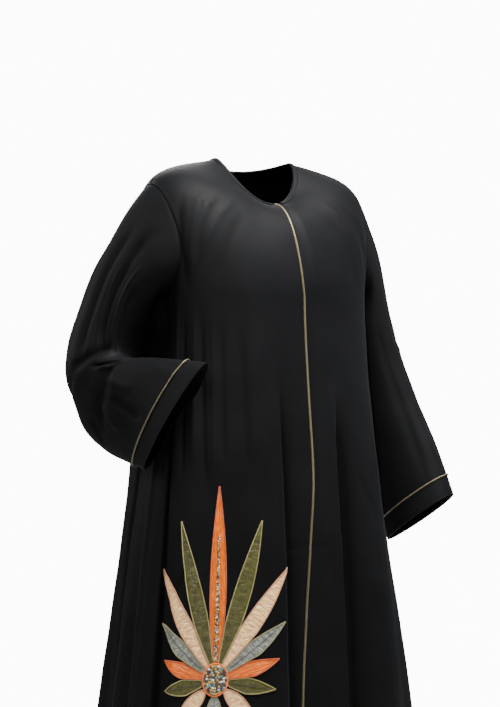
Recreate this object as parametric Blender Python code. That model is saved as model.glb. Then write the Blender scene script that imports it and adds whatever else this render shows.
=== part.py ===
"""A long black abaya cloak in the pose in which it is worn, hollow, with nobody inside.

The front faces -Y, the wearer's left is +X and +Z is up. The origin is midway between the two points
where the shoulders meet the neck, which is where the wearer holds the cloak up. Sizes are millimetres,
and the mesh is made in metres at the very end.

Angles round the body start at the centre front and grow towards the wearer's left. A level runs down
the body: 0 at the neck edge, LEVEL_TIP at the shoulder tip, LEVEL_ARMPIT at the armpit, LEVEL_HEM at
the hem.
"""

import math

import bpy
import numpy as np

METRES = 0.001

# Cloth and seams
WALL = 2.0
SEAM_GAP = 0.5
OVERLAP_STEP = 0.6
TRIM_LIFT = 0.4
APPLIQUE_LIFT = 0.6
APPLIQUE_WALL = 1.2

# Neck opening, measured from the origin
NECK_HALF_WIDTH = 75.0
NECK_FRONT = 66.0
NECK_BACK = 62.0
NECK_FRONT_DROP = 84.0
NECK_BACK_DROP = 14.0
NECK_DIP = 1.6
NECK_BINDING_WIDTH = 9.0
NECK_BINDING_WALL = 1.4
NECK_BINDING_LIFT = 0.6
NECK_BINDING_SHARES = (0.03, 1.0)

# Drops below the origin
ARMPIT_DROP = 250.0
HEM_DROP = 1420.0
LEVEL_TIP = 0.5
LEVEL_ARMPIT = 1.0
LEVEL_HEM = 2.0

# Roundness of the shoulder line, the chest, the upper back and the plan of the body
ROUND_SHOULDER = 5.6
ROUND_CHEST = 2.0
ROUND_BACK = 2.3
ROUND_PLAN = 2.25
SHOULDER_SLOPE = 0.2

# The side is pressed in under the arm
PINCH_START = 0.58
PINCH_SPREAD = 24.0

# Armhole, an ellipse in angle and level round the side
ARMHOLE_HALF_ANGLE = 31.0
ARMHOLE_MIDDLE = 0.5 * (LEVEL_TIP + LEVEL_ARMPIT)
ARMHOLE_HALF_LEVEL = 0.5 * (LEVEL_ARMPIT - LEVEL_TIP)

# Front opening: the right front lies over the left one, and a cord edges it
OPENING_COLUMNS = ("level", "place")
OPENING = (
    (0.00, 4.0),
    (1.00, 13.0),
    (1.17, 19.0),
    (1.27, 18.0),
    (1.36, 6.0),
    (1.48, -7.0),
    (1.60, -19.0),
    (2.00, -34.0),
)
LAP_ANGLE = 7.0
TUCK_FLAT_ANGLE = 3.0
TUCK_END_ANGLE = 9.0
FRONT_CORD_RADIUS = 2.3
CUFF_CORD_RADIUS = 1.5
CORD_SIDES = 6

# Hem band of each sleeve
CUFF_BAND_WIDTH = 38.0

# Plan of the body below the armpit, a row for each height. Sway moves the middle to the wearer's left.
RING_COLUMNS = ("drop", "half_width", "sway", "front", "back", "pinch")
RINGS = (
    (250.0, 226.0, 0.0, 146.0, 118.0, 43.0),
    (400.0, 232.0, 0.0, 152.0, 126.0, 33.0),
    (560.0, 244.0, 3.0, 162.0, 142.0, 14.0),
    (700.0, 258.0, 7.0, 168.0, 160.0, 3.0),
    (950.0, 287.0, 12.0, 175.0, 184.0, 0.0),
    (1420.0, 338.0, 14.0, 198.0, 226.0, 0.0),
)

# Long soft folds that fall to the hem, a row for each ridge. Before and after are the angles over which
# the ridge rises and falls, going towards the wearer's left.
FOLD_COLUMNS = ("top_angle", "hem_angle", "start_drop", "depth", "before", "after")
FOLDS = (
    (-9.6, -9.4, 330.0, 8.5, 16.0, 4.5),
    (16.5, 6.4, 400.0, 13.0, 13.0, 6.0),
    (48.2, 25.4, 470.0, 16.0, 17.0, 7.0),
    (74.0, 64.0, 560.0, 15.0, 14.0, 10.0),
    (97.0, 96.0, 600.0, 15.0, 10.0, 10.0),
    (118.0, 118.0, 480.0, 20.0, 10.0, 11.0),
    (141.0, 140.0, 430.0, 22.0, 10.0, 11.0),
    (163.0, 162.0, 450.0, 20.0, 11.0, 10.0),
    (-174.0, -175.0, 420.0, 22.0, 11.0, 11.0),
    (-151.0, -152.0, 460.0, 20.0, 10.0, 11.0),
    (-129.0, -130.0, 430.0, 22.0, 10.0, 11.0),
    (-106.0, -107.0, 560.0, 16.0, 10.0, 9.0),
    (-86.0, -88.0, 560.0, 14.0, 9.0, 8.0),
    (-71.0, -73.0, 540.0, 13.0, 8.0, 7.0),
    (-60.0, -62.0, 500.0, -9.0, 5.0, 7.0),
)
FOLD_FULL_DROP = 1100.0
FOLDS_FADE_IN = 0.05

# Sleeves. The front line and the back line of each, with x outwards from the middle of the body, and how
# far the cloth stands out from between them on the outer and the inner side. Lift turns the outer side
# up from level, so 90 is straight up, as at the armhole.
SLEEVE_COLUMNS = (
    "along", "front_x", "front_y", "front_z", "back_x", "back_y", "back_z",
    "outer", "outer_lift", "inner", "inner_lift",
)
LEFT_SLEEVE = (
    (0.00, 191.0, -80.0, -166.0, 191.0, 65.0, -160.0, 116.0, 81.0, 87.0, 84.0),
    (0.16, 210.0, -78.0, -200.0, 208.0, 78.0, -212.0, 91.0, 63.0, 57.0, 78.0),
    (0.34, 236.0, -80.0, -292.0, 232.0, 82.0, -314.0, 52.0, 35.0, 42.0, 42.0),
    (0.52, 265.0, -88.0, -374.0, 258.0, 76.0, -416.0, 46.0, 24.0, 42.0, 26.0),
    (0.70, 296.0, -108.0, -462.0, 287.0, 60.0, -526.0, 45.0, 18.0, 42.0, 18.0),
    (0.85, 318.0, -128.0, -534.0, 308.0, 42.0, -614.0, 44.0, 16.0, 42.0, 16.0),
    (1.00, 336.0, -144.0, -606.0, 326.0, 26.0, -702.0, 43.0, 16.0, 43.0, 16.0),
)
RIGHT_SLEEVE = (
    (0.00, 191.0, -80.0, -166.0, 191.0, 65.0, -160.0, 116.0, 81.0, 87.0, 84.0),
    (0.15, 222.0, -60.0, -192.0, 222.0, 86.0, -204.0, 76.0, 62.0, 70.0, 70.0),
    (0.32, 258.0, -24.0, -258.0, 266.0, 114.0, -274.0, 44.0, 30.0, 80.0, 40.0),
    (0.48, 266.0, -2.0, -344.0, 308.0, 106.0, -385.0, 46.0, 10.0, 88.0, 18.0),
    (0.60, 260.0, -26.0, -354.0, 290.0, 82.0, -474.0, 46.0, 5.0, 56.0, 8.0),
    (0.72, 248.0, -57.0, -354.0, 274.0, 36.0, -514.0, 43.0, 0.0, 42.0, 0.0),
    (0.86, 222.0, -112.0, -357.0, 260.0, -25.0, -534.0, 36.0, 0.0, 42.0, 0.0),
    (1.00, 191.0, -169.0, -362.0, 260.0, -80.0, -541.0, 32.0, 0.0, 43.0, 0.0),
)
SLEEVE_LENGTH = 560.0
SLEEVE_GIRTH = 480.0
HEAD_SHRINK = 0.992
HEAD_TURNS_OVER = 0.06
SLEEVE_SETTLE = 0.4
SLEEVE_CLEARANCE = 9.0
CLEARANCE_ROUNDING = 25.0
CLEARANCE_REACH = 30.0
CLEARANCE_STARTS = (-10.0, 30.0)
CLEARANCE_ALONG = (0.04, 0.16)
TROUGHS_START = 0.12
TROUGH_FADE = (0.15, 0.35)

# Largest folds of the sleeves, as soft troughs from one point of the sleeve to another. Turn is the
# angle round the sleeve: 0 front, 90 outer side, 180 back, 270 inner side.
TROUGH_COLUMNS = ("along_a", "turn_a", "along_b", "turn_b", "width", "depth")
LEFT_TROUGHS = (
    (0.46, 60.0, 0.55, 128.0, 15.0, 4.0),
    (0.44, 20.0, 0.97, 42.0, 20.0, 4.0),
)
RIGHT_TROUGHS = (
    (0.12, 38.0, 0.45, 52.0, 11.0, 7.0),
    (0.14, 66.0, 0.47, 84.0, 12.0, 7.0),
    (0.47, -20.0, 0.50, 100.0, 12.0, 11.0),
    (0.58, 30.0, 0.74, 128.0, 14.0, 6.0),
    (0.55, 138.0, 0.62, 190.0, 14.0, 6.0),
)

# Flower sewn on the right front. Lean is measured from straight up, and each leaning petal has a twin
# that leans the other way.
FLOWER_ANGLE = -35.4
FLOWER_DROP = 895.0
FLOWER_HALF_WIDTH = 21.0
FLOWER_HALF_HEIGHT = 27.0
FLOWER_RISE = 3.0
MIDDLE_RIM = 1.0
PETAL_GAP = 0.4
PETAL_TIP = 0.5
PETAL_TRUE_AT = 0.3
PETAL_SWELL = (0.2, 3.7, 0.9, 1.1)
PETAL_CROWN = (0.6, 1.0, 0.6)
PETAL_COLUMNS = ("lean", "length", "half_width", "curl", "colour")
PETALS = (
    (0.0, 296.0, 13.0, 0.0, "orange"),
    (15.5, 246.0, 13.0, -5.0, "olive"),
    (32.0, 186.0, 13.0, -9.0, "peach"),
    (51.0, 116.0, 12.5, -12.0, "silver"),
    (75.0, 82.0, 12.5, -12.0, "orange"),
    (103.0, 76.0, 12.5, -6.0, "olive"),
    (137.0, 76.0, 12.0, 6.0, "peach"),
    (180.0, 76.0, 12.0, 0.0, "silver"),
)

COLOURS = {
    "cloth": (0.012, 0.012, 0.013),
    "cord": (0.36, 0.27, 0.13),
    "olive": (0.16, 0.15, 0.06),
    "orange": (0.72, 0.22, 0.06),
    "peach": (0.83, 0.58, 0.42),
    "silver": (0.42, 0.44, 0.40),
    "beads": (0.25, 0.17, 0.07),
}
CLOTH_ROUGHNESS = 0.75
SATIN_ROUGHNESS = 0.45
CORD_METALLIC = 0.3

# Mesh density
ROWS_TO_TIP = 3
ROWS_BELOW = 10
SLEEVE_TURNS = 24
SLEEVE_ROWS = 17
LEAST_COLUMN_ANGLE = 4.5
MOST_COLUMN_ANGLE = 10.0
FLOWER_COLUMN_ANGLE = 5.0
FLOWER_REACH_ANGLE = 24.0
PETAL_ROW = 20.0
PETAL_LEAST_ROWS = 4
MIDDLE_ROWS = 8
MIDDLE_COLUMNS = 4
DRAPE_STEPS = (0.0, 0.2, 0.4, 0.6, 0.8, 1.0)
TINY = 1e-3
NEARBY = 0.2


def columns_of(names, rows):
    """A table as a dictionary of arrays, one for each named column."""
    return dict(zip(names, np.array(rows, float).T))


def step(x):
    """Rises smoothly from 0 at x = 0 to 1 at x = 1."""
    x = np.clip(x, 0.0, 1.0)
    return x * x * (3.0 - 2.0 * x)


def between(x, ends):
    """Rises smoothly from 0 at the first of two values to 1 at the second."""
    return step((x - ends[0]) / (ends[1] - ends[0]))


def smooth(at, values, x):
    """The cubic through the values at the given places, with a level start so that rings join the dome."""
    slopes = np.gradient(values, at)
    slopes[0] = 0.0
    i = np.clip(np.searchsorted(at, x, side="right") - 1, 0, len(at) - 2)
    gap = at[i + 1] - at[i]
    u = np.clip((x - at[i]) / gap, 0.0, 1.0)
    from_a = (1 + 2 * u) * (1 - u) ** 2 * values[i] + u * (1 - u) ** 2 * gap * slopes[i]
    from_b = u * u * (3 - 2 * u) * values[i + 1] + u * u * (u - 1) * gap * slopes[i + 1]
    return from_a + from_b


RING = columns_of(RING_COLUMNS, RINGS)
OPEN = columns_of(OPENING_COLUMNS, OPENING)


def plan(angle):
    """How far sideways and forwards a rounded plan reaches at an angle, both up to 1."""
    turn = np.radians(angle)
    side, ahead = np.sin(turn), np.cos(turn)
    power = 2.0 / ROUND_PLAN
    return np.sign(side) * np.abs(side) ** power, np.sign(ahead) * np.abs(ahead) ** power


def ring_point(angle, drop):
    """A point of the plan at a drop, before folds and pinch: the rounded oval of the ring table."""
    side, ahead = plan(angle)
    facing = np.where(ahead > 0, smooth(RING["drop"], RING["front"], drop), 0.0)
    depth = facing + np.where(ahead > 0, 0.0, smooth(RING["drop"], RING["back"], drop))
    middle = smooth(RING["drop"], RING["sway"], drop)
    return middle + smooth(RING["drop"], RING["half_width"], drop) * side, -depth * ahead


def fold_height(angle, drop):
    """How far the folds stand out: each is a ridge with a rise and a fall of its own width."""
    height = np.zeros(np.broadcast(angle, drop).shape)
    for top, hem, start, depth, before, after in FOLDS:
        down = (drop - start) / (HEM_DROP - start)
        ridge = top + (hem - top) * np.clip(down, 0.0, 1.0)
        away = (angle - ridge + 180.0) % 360.0 - 180.0
        reach = np.clip(np.where(away < 0, -away / before, away / after), 0.0, 1.0)
        grown = step((drop - start) / (FOLD_FULL_DROP - start))
        height = height + depth * grown * 0.5 * (1.0 + np.cos(math.pi * reach))
    return height


def body_point(angle, level):
    """A point of the cloak's outside at an angle round the body and a level down it.

    Above the armpit it goes from the neck edge to the armpit ring along a rounded shoulder, and below
    the armpit it is the ring of that height. The folds and the press of the arm come on top.
    """
    angle, level = np.broadcast_arrays(np.asarray(angle, float), np.asarray(level, float))
    side, ahead = plan(angle)
    turned = np.radians(angle)
    facing = np.cos(turned)
    neck_x = NECK_HALF_WIDTH * np.sin(turned)
    neck_y = -np.where(facing > 0, NECK_FRONT, NECK_BACK) * facing
    neck_z = -np.where(facing > 0, NECK_FRONT_DROP, NECK_BACK_DROP) * np.abs(facing) ** NECK_DIP
    below = np.clip(level - LEVEL_ARMPIT, 0.0, LEVEL_HEM - LEVEL_ARMPIT)
    drop = ARMPIT_DROP + below * (HEM_DROP - ARMPIT_DROP) / (LEVEL_HEM - LEVEL_ARMPIT)
    ring_x, ring_y = ring_point(angle, drop)

    sideways = np.sin(turned) ** 2
    middle = np.where(ahead > 0, ROUND_CHEST, ROUND_BACK)
    power = middle + (ROUND_SHOULDER - middle) * sideways**1.5
    turn = np.clip(level / LEVEL_ARMPIT, 0.0, 1.0) * math.pi / 2
    rise, run = np.cos(turn), np.sin(turn)
    scale = (np.abs(rise) ** power + np.abs(run) ** power) ** (-1.0 / power)
    out, up = run * scale, rise * scale
    reach = np.hypot(ring_x - neck_x, ring_y - neck_y)
    slope = SHOULDER_SLOPE * sideways * reach
    yoke_z = neck_z - slope * out - (ARMPIT_DROP + neck_z - slope) * (1.0 - up)

    in_yoke = level < LEVEL_ARMPIT
    x = np.where(in_yoke, neck_x + (ring_x - neck_x) * out, ring_x)
    y = np.where(in_yoke, neck_y + (ring_y - neck_y) * out, ring_y)
    z = np.where(in_yoke, yoke_z, -drop)

    near_side = np.exp(-(((np.abs(angle_from_front(angle)) - 90.0) / PINCH_SPREAD) ** 2))
    pinch = smooth(RING["drop"], RING["pinch"], drop) * near_side
    pinch = pinch * step((level - PINCH_START) / (LEVEL_ARMPIT - PINCH_START))
    x = x - np.sign(side) * pinch
    height = fold_height(angle, drop) * step((level - LEVEL_ARMPIT) / FOLDS_FADE_IN)
    length = np.maximum(np.hypot(x, y), 1.0)
    x = x + height * x / length
    y = y + height * y / length
    return np.stack([x, y, z], axis=-1)


def angle_from_front(angle):
    """The angle brought into -180 to 180."""
    return (angle + 180.0) % 360.0 - 180.0


def unit(v):
    return v / np.maximum(np.linalg.norm(v, axis=-1, keepdims=True), 1e-9)


def body_normal(angle, level):
    """The outward direction of the body surface, from the slopes along both of its parameters."""
    level = np.clip(level, TINY, LEVEL_HEM - TINY)
    round_it = body_point(angle + NEARBY, level) - body_point(angle - NEARBY, level)
    down_it = body_point(angle, level + TINY) - body_point(angle, level - TINY)
    return unit(np.cross(down_it, round_it))


def gap_angle(angle, level):
    """Half a seam gap as an angle round the body."""
    pace = np.linalg.norm(body_point(angle + 0.5, level) - body_point(angle - 0.5, level), axis=-1)
    return 0.5 * SEAM_GAP / np.maximum(pace, 0.2)


def armhole_angle(level):
    """How far the armhole cuts into a panel at a level, as an angle from the side."""
    away = (level - ARMHOLE_MIDDLE) / ARMHOLE_HALF_LEVEL
    return ARMHOLE_HALF_ANGLE * np.sqrt(np.clip(1.0 - away * away, 0.0, 1.0))


def opening_angle(level):
    """The angle of the right front's free edge, from its place in millimetres off the middle."""
    pace = body_point(np.full_like(level, 4.0), level) - body_point(np.full_like(level, -4.0), level)
    return smooth(OPEN["level"], OPEN["place"], level) * 8.0 / np.linalg.norm(pace, axis=-1)


def tuck(angle, level):
    """How far the left front lies in under the right front and its cord."""
    past = angle - opening_angle(level)
    return (WALL + OVERLAP_STEP) * (1.0 - between(past, (TUCK_FLAT_ANGLE, TUCK_END_ANGLE)))


def panel_levels():
    """The levels of the panel rows. Those along the armhole match the points round the sleeve head."""
    to_tip = np.linspace(0.0, LEVEL_TIP, ROWS_TO_TIP + 1)[:-1]
    turns = np.linspace(math.pi / 2, -math.pi / 2, SLEEVE_TURNS // 2 + 1)
    by_arm = ARMHOLE_MIDDLE - ARMHOLE_HALF_LEVEL * np.sin(turns)
    below = np.linspace(LEVEL_ARMPIT, LEVEL_HEM, ROWS_BELOW + 1)[1:]
    return np.concatenate([to_tip, by_arm, below])


def spread(first, last, marks):
    """Columns between two edges that change with level, spaced as the marks are."""
    share = (marks - marks[0]) / (marks[-1] - marks[0])
    return first[:, None] + (last - first)[:, None] * share[None, :]


def panel_marks(first, last):
    """Where the columns of a panel stand: both edges, every fold's ridge and feet, and enough between."""
    marks = [first, last]
    for top, hem, _, _, before, after in FOLDS:
        ridge = 0.5 * (top + hem)
        for turn in (-360.0, 0.0, 360.0):
            marks += [ridge + turn - 0.5 * before, ridge + turn, ridge + turn + after]
    marks = sorted(m for m in marks if first <= m <= last)
    kept = [marks[0]]
    for mark in marks[1:]:
        if mark - kept[-1] > LEAST_COLUMN_ANGLE:
            kept.append(mark)
    kept[-1] = last
    filled = [kept[0]]
    for a, b in zip(kept, kept[1:]):
        near_flower = abs(0.5 * (a + b) - FLOWER_ANGLE) < FLOWER_REACH_ANGLE
        parts = math.ceil((b - a) / (FLOWER_COLUMN_ANGLE if near_flower else MOST_COLUMN_ANGLE) - 1e-6)
        filled += [a + (b - a) * k / parts for k in range(1, parts + 1)]
    return np.array(filled)


def right_columns(levels):
    """Angles of the right front's columns. The last three lie over the left front's first three."""
    edge = opening_angle(levels)
    wide = spread(side_edge(-1.0, False)(levels), edge - LAP_ANGLE, panel_marks(-90.0, -LAP_ANGLE))
    return np.column_stack([wide, edge - 0.5 * LAP_ANGLE, edge])


def left_columns(levels):
    """Angles of the left front's columns, from under the right front to the wearer's left side."""
    edge = opening_angle(levels)
    wide = spread(edge + TUCK_END_ANGLE, side_edge(1.0, False)(levels), panel_marks(TUCK_END_ANGLE, 90.0))
    under = [edge - LAP_ANGLE, edge - 0.5 * LAP_ANGLE, edge, edge + TUCK_FLAT_ANGLE]
    return np.column_stack([*under, wide])


def back_columns(levels):
    """Angles of the back's columns, from the wearer's left side through 180 to the right side."""
    side = side_edge(1.0, True)(levels)
    return spread(side, 360.0 - side, panel_marks(90.0, 270.0))


class Panel:
    """One panel of the body: a grid of angles, levels, outside points and normals."""

    def __init__(self, columns, levels, sunk=None):
        self.levels = levels
        self.angle = columns(levels)
        level = np.broadcast_to(levels[:, None], self.angle.shape)
        self.normal = body_normal(self.angle, level)
        self.outer = body_point(self.angle, level)
        if sunk is not None:
            self.outer = self.outer - self.normal * sunk(self.angle, level)[..., None]

    def on_facet(self, angle, level):
        """The point and normal of the panel's flat facet at an angle and level."""
        row = np.clip(np.searchsorted(self.levels, level, side="right") - 1, 0, len(self.levels) - 2)
        down = (level - self.levels[row]) / (self.levels[row + 1] - self.levels[row])
        edges = self.angle[row] + (self.angle[row + 1] - self.angle[row]) * down[..., None]
        col = np.clip((edges <= angle[..., None]).sum(axis=-1) - 1, 0, self.angle.shape[1] - 2)
        left = np.take_along_axis(edges, col[..., None], axis=-1)[..., 0]
        right = np.take_along_axis(edges, col[..., None] + 1, axis=-1)[..., 0]
        along = ((angle - left) / (right - left))[..., None]
        down = down[..., None]
        found = []
        for grid in (self.outer, self.normal):
            a, b = grid[row, col], grid[row, col + 1]
            c, d = grid[row + 1, col + 1], grid[row + 1, col]
            above = a + (b - a) * along + (c - b) * down
            below = a + (d - a) * down + (c - d) * along
            found.append(np.where(along >= down, above, below))
        return found[0], unit(found[1])


def mesh_object(name, points, faces, material, smooth_angle=40.0):
    """One named object from points in millimetres and faces. The faces are turned out if they face in."""
    points = np.asarray(points, float).reshape(-1, 3) * METRES
    faces = np.asarray(faces, int)
    corners = points[faces]
    if np.einsum("ij,ij->i", corners[:, 0], np.cross(corners[:, 1], corners[:, 2])).sum() < 0:
        faces = faces[:, ::-1]
    mesh = bpy.data.meshes.new(name)
    mesh.from_pydata(points.tolist(), [], faces.tolist())
    mesh.shade_smooth()
    mesh.set_sharp_from_angle(angle=math.radians(smooth_angle))
    mesh.materials.append(material)
    made = bpy.data.objects.new(name, mesh)
    bpy.context.scene.collection.objects.link(made)
    return made


def wall_object(name, outer, inner, material, closed=False):
    """A thin closed solid between two grids of points with the same rows and columns.

    Both sides are split along the same diagonals, so that the wall keeps its thickness. A closed grid
    joins its last column to its first.
    """
    rows, cols = outer.shape[:2]
    index = np.arange(rows * cols).reshape(rows, cols)
    if closed:
        index = np.concatenate([index, index[:, :1]], axis=1)
    a, b = index[:-1, :-1].ravel(), index[:-1, 1:].ravel()
    c, d = index[1:, 1:].ravel(), index[1:, :-1].ravel()
    skin = np.concatenate([np.stack([a, b, c], 1), np.stack([a, c, d], 1)])
    inside = skin[:, ::-1] + rows * cols
    edges = [index[0, :], index[-1, ::-1]]
    if not closed:
        edges += [index[::-1, 0], index[:, -1]]
    rims = []
    for edge in edges:
        p, q = edge[:-1], edge[1:]
        rims += [np.stack([q, p, p + rows * cols], 1), np.stack([q, p + rows * cols, q + rows * cols], 1)]
    faces = np.concatenate([skin, inside, *rims])
    return mesh_object(name, np.concatenate([outer.reshape(-1, 3), inner.reshape(-1, 3)]), faces, material)


def side_edge(sign, behind):
    """The side edge of a panel: shoulder seam, armhole, side seam. Sign is +1 on the wearer's left."""

    def edge(levels):
        towards = 1.0 if behind else -1.0
        seam = np.full_like(levels, 90.0)
        gap = gap_angle(sign * seam, levels)
        return sign * (seam + towards * (armhole_angle(levels) + gap))

    return edge


def sleeve_line(table, along):
    """The front point, the back point, and the reaches and lifts of a sleeve at places along it."""
    at = table["along"]
    front = np.stack([smooth(at, table["front_" + k], along) for k in "xyz"], axis=-1)
    back = np.stack([smooth(at, table["back_" + k], along) for k in "xyz"], axis=-1)
    return front, back, {k: smooth(at, table[k], along) for k in SLEEVE_COLUMNS[7:]}


def sleeve_loft(table, turn, along):
    """The sleeve before it is fitted to the armhole: an oval round the middle of its two lines."""
    front, back, sides = sleeve_line(table, along)
    middle = 0.5 * (front + back)
    half = front - middle
    axis = unit(half)
    level_out = unit(np.stack([-axis[..., 1], axis[..., 0], np.zeros_like(axis[..., 0])], axis=-1))
    angle = np.radians(turn)
    across = 0.0
    outwards = np.sin(angle)
    for name, share in (("outer", np.maximum(outwards, 0.0)), ("inner", np.minimum(outwards, 0.0))):
        tilt = np.radians(sides[name + "_lift"])[..., None]
        side = level_out * np.cos(tilt) + np.array([0.0, 0.0, 1.0]) * np.sin(tilt)
        side = unit(side - axis * (side * axis).sum(axis=-1, keepdims=True))
        across = across + side * (sides[name] * share)[..., None]
    return middle + half * np.cos(angle)[..., None] + across


def armhole_place(turn, shrink):
    """Angle and level of the armhole's edge at a turn round the sleeve, drawn in by a share."""
    angle = np.radians(turn)
    level = ARMHOLE_MIDDLE - ARMHOLE_HALF_LEVEL * shrink * np.sin(angle)
    return 90.0 - ARMHOLE_HALF_ANGLE * shrink * np.cos(angle), level


def clear_of_body(point, along):
    """Moves sleeve points outwards until they are clear of the body's side."""
    drop = np.clip(-point[..., 2], ARMPIT_DROP, HEM_DROP)
    angle = 90.0 + np.degrees(np.arctan2(point[..., 1], np.maximum(point[..., 0], 1.0)))
    for _ in range(3):
        level = LEVEL_ARMPIT + (drop - ARMPIT_DROP) / (HEM_DROP - ARMPIT_DROP)
        skin = body_point(angle, level)
        angle = angle + np.degrees((point[..., 1] - skin[..., 1]) / np.maximum(point[..., 0], 60.0))
    short = skin[..., 0] + SLEEVE_CLEARANCE - point[..., 0]
    push = 0.5 * (short + np.sqrt(short * short + CLEARANCE_ROUNDING))
    below = between(-point[..., 2] - ARMPIT_DROP, CLEARANCE_STARTS) * between(along, CLEARANCE_ALONG)
    moved = point.copy()
    moved[..., 0] = moved[..., 0] + np.where(short > -CLEARANCE_REACH, push, 0.0) * below
    return moved


def trough_depth(troughs, turn, along, length, girth):
    """How far the troughs draw the sleeve in: each is a soft groove along a line, fading at its ends."""
    over, rise = TROUGH_FADE
    depth = np.zeros(np.broadcast(turn, along).shape)
    for along_a, turn_a, along_b, turn_b, width, deep in troughs:
        to_v = (along_b - along_a) * length
        to_u = (turn_b - turn_a) / 360.0 * girth
        v = (along - along_a) * length
        u = ((turn - turn_a + 180.0) % 360.0 - 180.0) / 360.0 * girth
        t = (u * to_u + v * to_v) / (to_u**2 + to_v**2)
        off = (u * to_v - v * to_u) / math.hypot(to_u, to_v)
        fade = step((t + over) / rise) * step((1.0 + over - t) / rise)
        depth = depth + deep * fade * np.exp(-((off / width) ** 2))
    return depth


class Sleeve:
    """One sleeve's outer surface: the loft of its table, carried into its armhole and grooved."""

    def __init__(self, sign, rows, troughs):
        self.sign = sign
        self.table = columns_of(SLEEVE_COLUMNS, rows)
        self.troughs = troughs

    def bare(self, turn, along):
        turn, along = np.broadcast_arrays(np.asarray(turn, float), np.asarray(along, float))
        point = sleeve_loft(self.table, turn, along)
        angle, level = armhole_place(turn, HEAD_SHRINK)
        misfit = body_point(angle, level) - sleeve_loft(self.table, turn, np.zeros_like(along))
        return point + misfit * (1.0 - step(along / SLEEVE_SETTLE))[..., None]

    def bare_normal(self, turn, along):
        along = np.clip(along, TINY, 1.0 - TINY)
        round_it = self.bare(turn + 1.0, along) - self.bare(turn - 1.0, along)
        down_it = self.bare(turn, along + TINY) - self.bare(turn, along - TINY)
        return unit(np.cross(down_it, round_it))

    def point(self, turn, along):
        """The outer surface with x outwards, before it is turned to its own side of the body."""
        turn, along = np.broadcast_arrays(np.asarray(turn, float), np.asarray(along, float))
        groove = trough_depth(self.troughs, turn, along, SLEEVE_LENGTH, SLEEVE_GIRTH)
        groove = groove * step(along / TROUGHS_START)
        point = self.bare(turn, along) - self.bare_normal(turn, along) * groove[..., None]
        return clear_of_body(point, along)

    def normal(self, turn, along):
        """Outward direction. At the armhole it is the body's own, so that both walls meet squarely."""
        inside = np.clip(along, TINY, 1.0 - TINY)
        round_it = self.point(turn + 1.0, inside) - self.point(turn - 1.0, inside)
        down_it = self.point(turn, inside + TINY) - self.point(turn, inside - TINY)
        own = unit(np.cross(down_it, round_it))
        head = body_normal(*armhole_place(turn, HEAD_SHRINK))
        share = (1.0 - step(along / HEAD_TURNS_OVER))[..., None]
        return unit(own * (1.0 - share) + head * share)

    def band_start(self, turn, offset=0.0):
        """Where the hem band starts, as far from the hem all round, and an offset past it."""
        at = np.full_like(turn, 1.0 - 2 * TINY)
        stretch = self.point(turn, at + TINY) - self.point(turn, at - TINY)
        pace = np.linalg.norm(stretch, axis=-1) / (2 * TINY)
        return 1.0 - (CUFF_BAND_WIDTH - offset) / pace

    def placed(self, points):
        return points * np.array([self.sign, 1.0, 1.0])

    def wall(self, name, turn, along, material):
        normal = self.normal(turn, along)
        outer = self.point(turn, along)
        wall_object(name, self.placed(outer), self.placed(outer - WALL * normal), material, closed=True)


def cord_object(name, path, normal, radius, material, closed):
    """A round cord along a path, with its centre on it. Closed cords join end to end."""
    if closed:
        ahead = np.roll(path, -1, axis=0) - np.roll(path, 1, axis=0)
    else:
        ahead = np.gradient(path, axis=0)
    ahead = unit(ahead)
    across = unit(np.cross(ahead, normal))
    upright = np.cross(across, ahead)
    turns = np.arange(CORD_SIDES) * 2 * math.pi / CORD_SIDES
    ring = radius * (
        across[:, None] * np.cos(turns)[None, :, None] + upright[:, None] * np.sin(turns)[None, :, None]
    )
    points = path[:, None] + ring
    count = len(path)
    index = np.arange(count * CORD_SIDES).reshape(count, CORD_SIDES)
    index = np.concatenate([index, index[:, :1]], axis=1)
    if closed:
        index = np.concatenate([index, index[:1]], axis=0)
    a, b = index[:-1, :-1].ravel(), index[:-1, 1:].ravel()
    c, d = index[1:, 1:].ravel(), index[1:, :-1].ravel()
    faces = [np.stack([a, b, c], 1), np.stack([a, c, d], 1)]
    if not closed:
        fan = np.arange(1, CORD_SIDES - 1)
        first = np.stack([np.zeros_like(fan), fan + 1, fan], 1)
        faces += [first, (count - 1) * CORD_SIDES + first[:, ::-1]]
    return mesh_object(name, points, np.concatenate(faces), material, smooth_angle=80.0)


def material(name):
    """A plain finish with the piece's colour."""
    made = bpy.data.materials.new(name)
    made.use_nodes = True
    shader = made.node_tree.nodes["Principled BSDF"]
    shader.inputs["Base Color"].default_value = (*COLOURS[name], 1.0)
    shader.inputs["Roughness"].default_value = CLOTH_ROUGHNESS if name == "cloth" else SATIN_ROUGHNESS
    shader.inputs["Metallic"].default_value = CORD_METALLIC if name == "cord" else 0.0
    return made


def make_body(cloth):
    """The two fronts and the back, returned by name for the trims that lie on them."""
    made = {
        "front_left": Panel(left_columns, panel_levels(), tuck),
        "back": Panel(back_columns, panel_levels()),
        "front_right": Panel(right_columns, panel_levels()),
    }
    for name, panel in made.items():
        wall_object(name, panel.outer, panel.outer - WALL * panel.normal, cloth)
    return made


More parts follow.
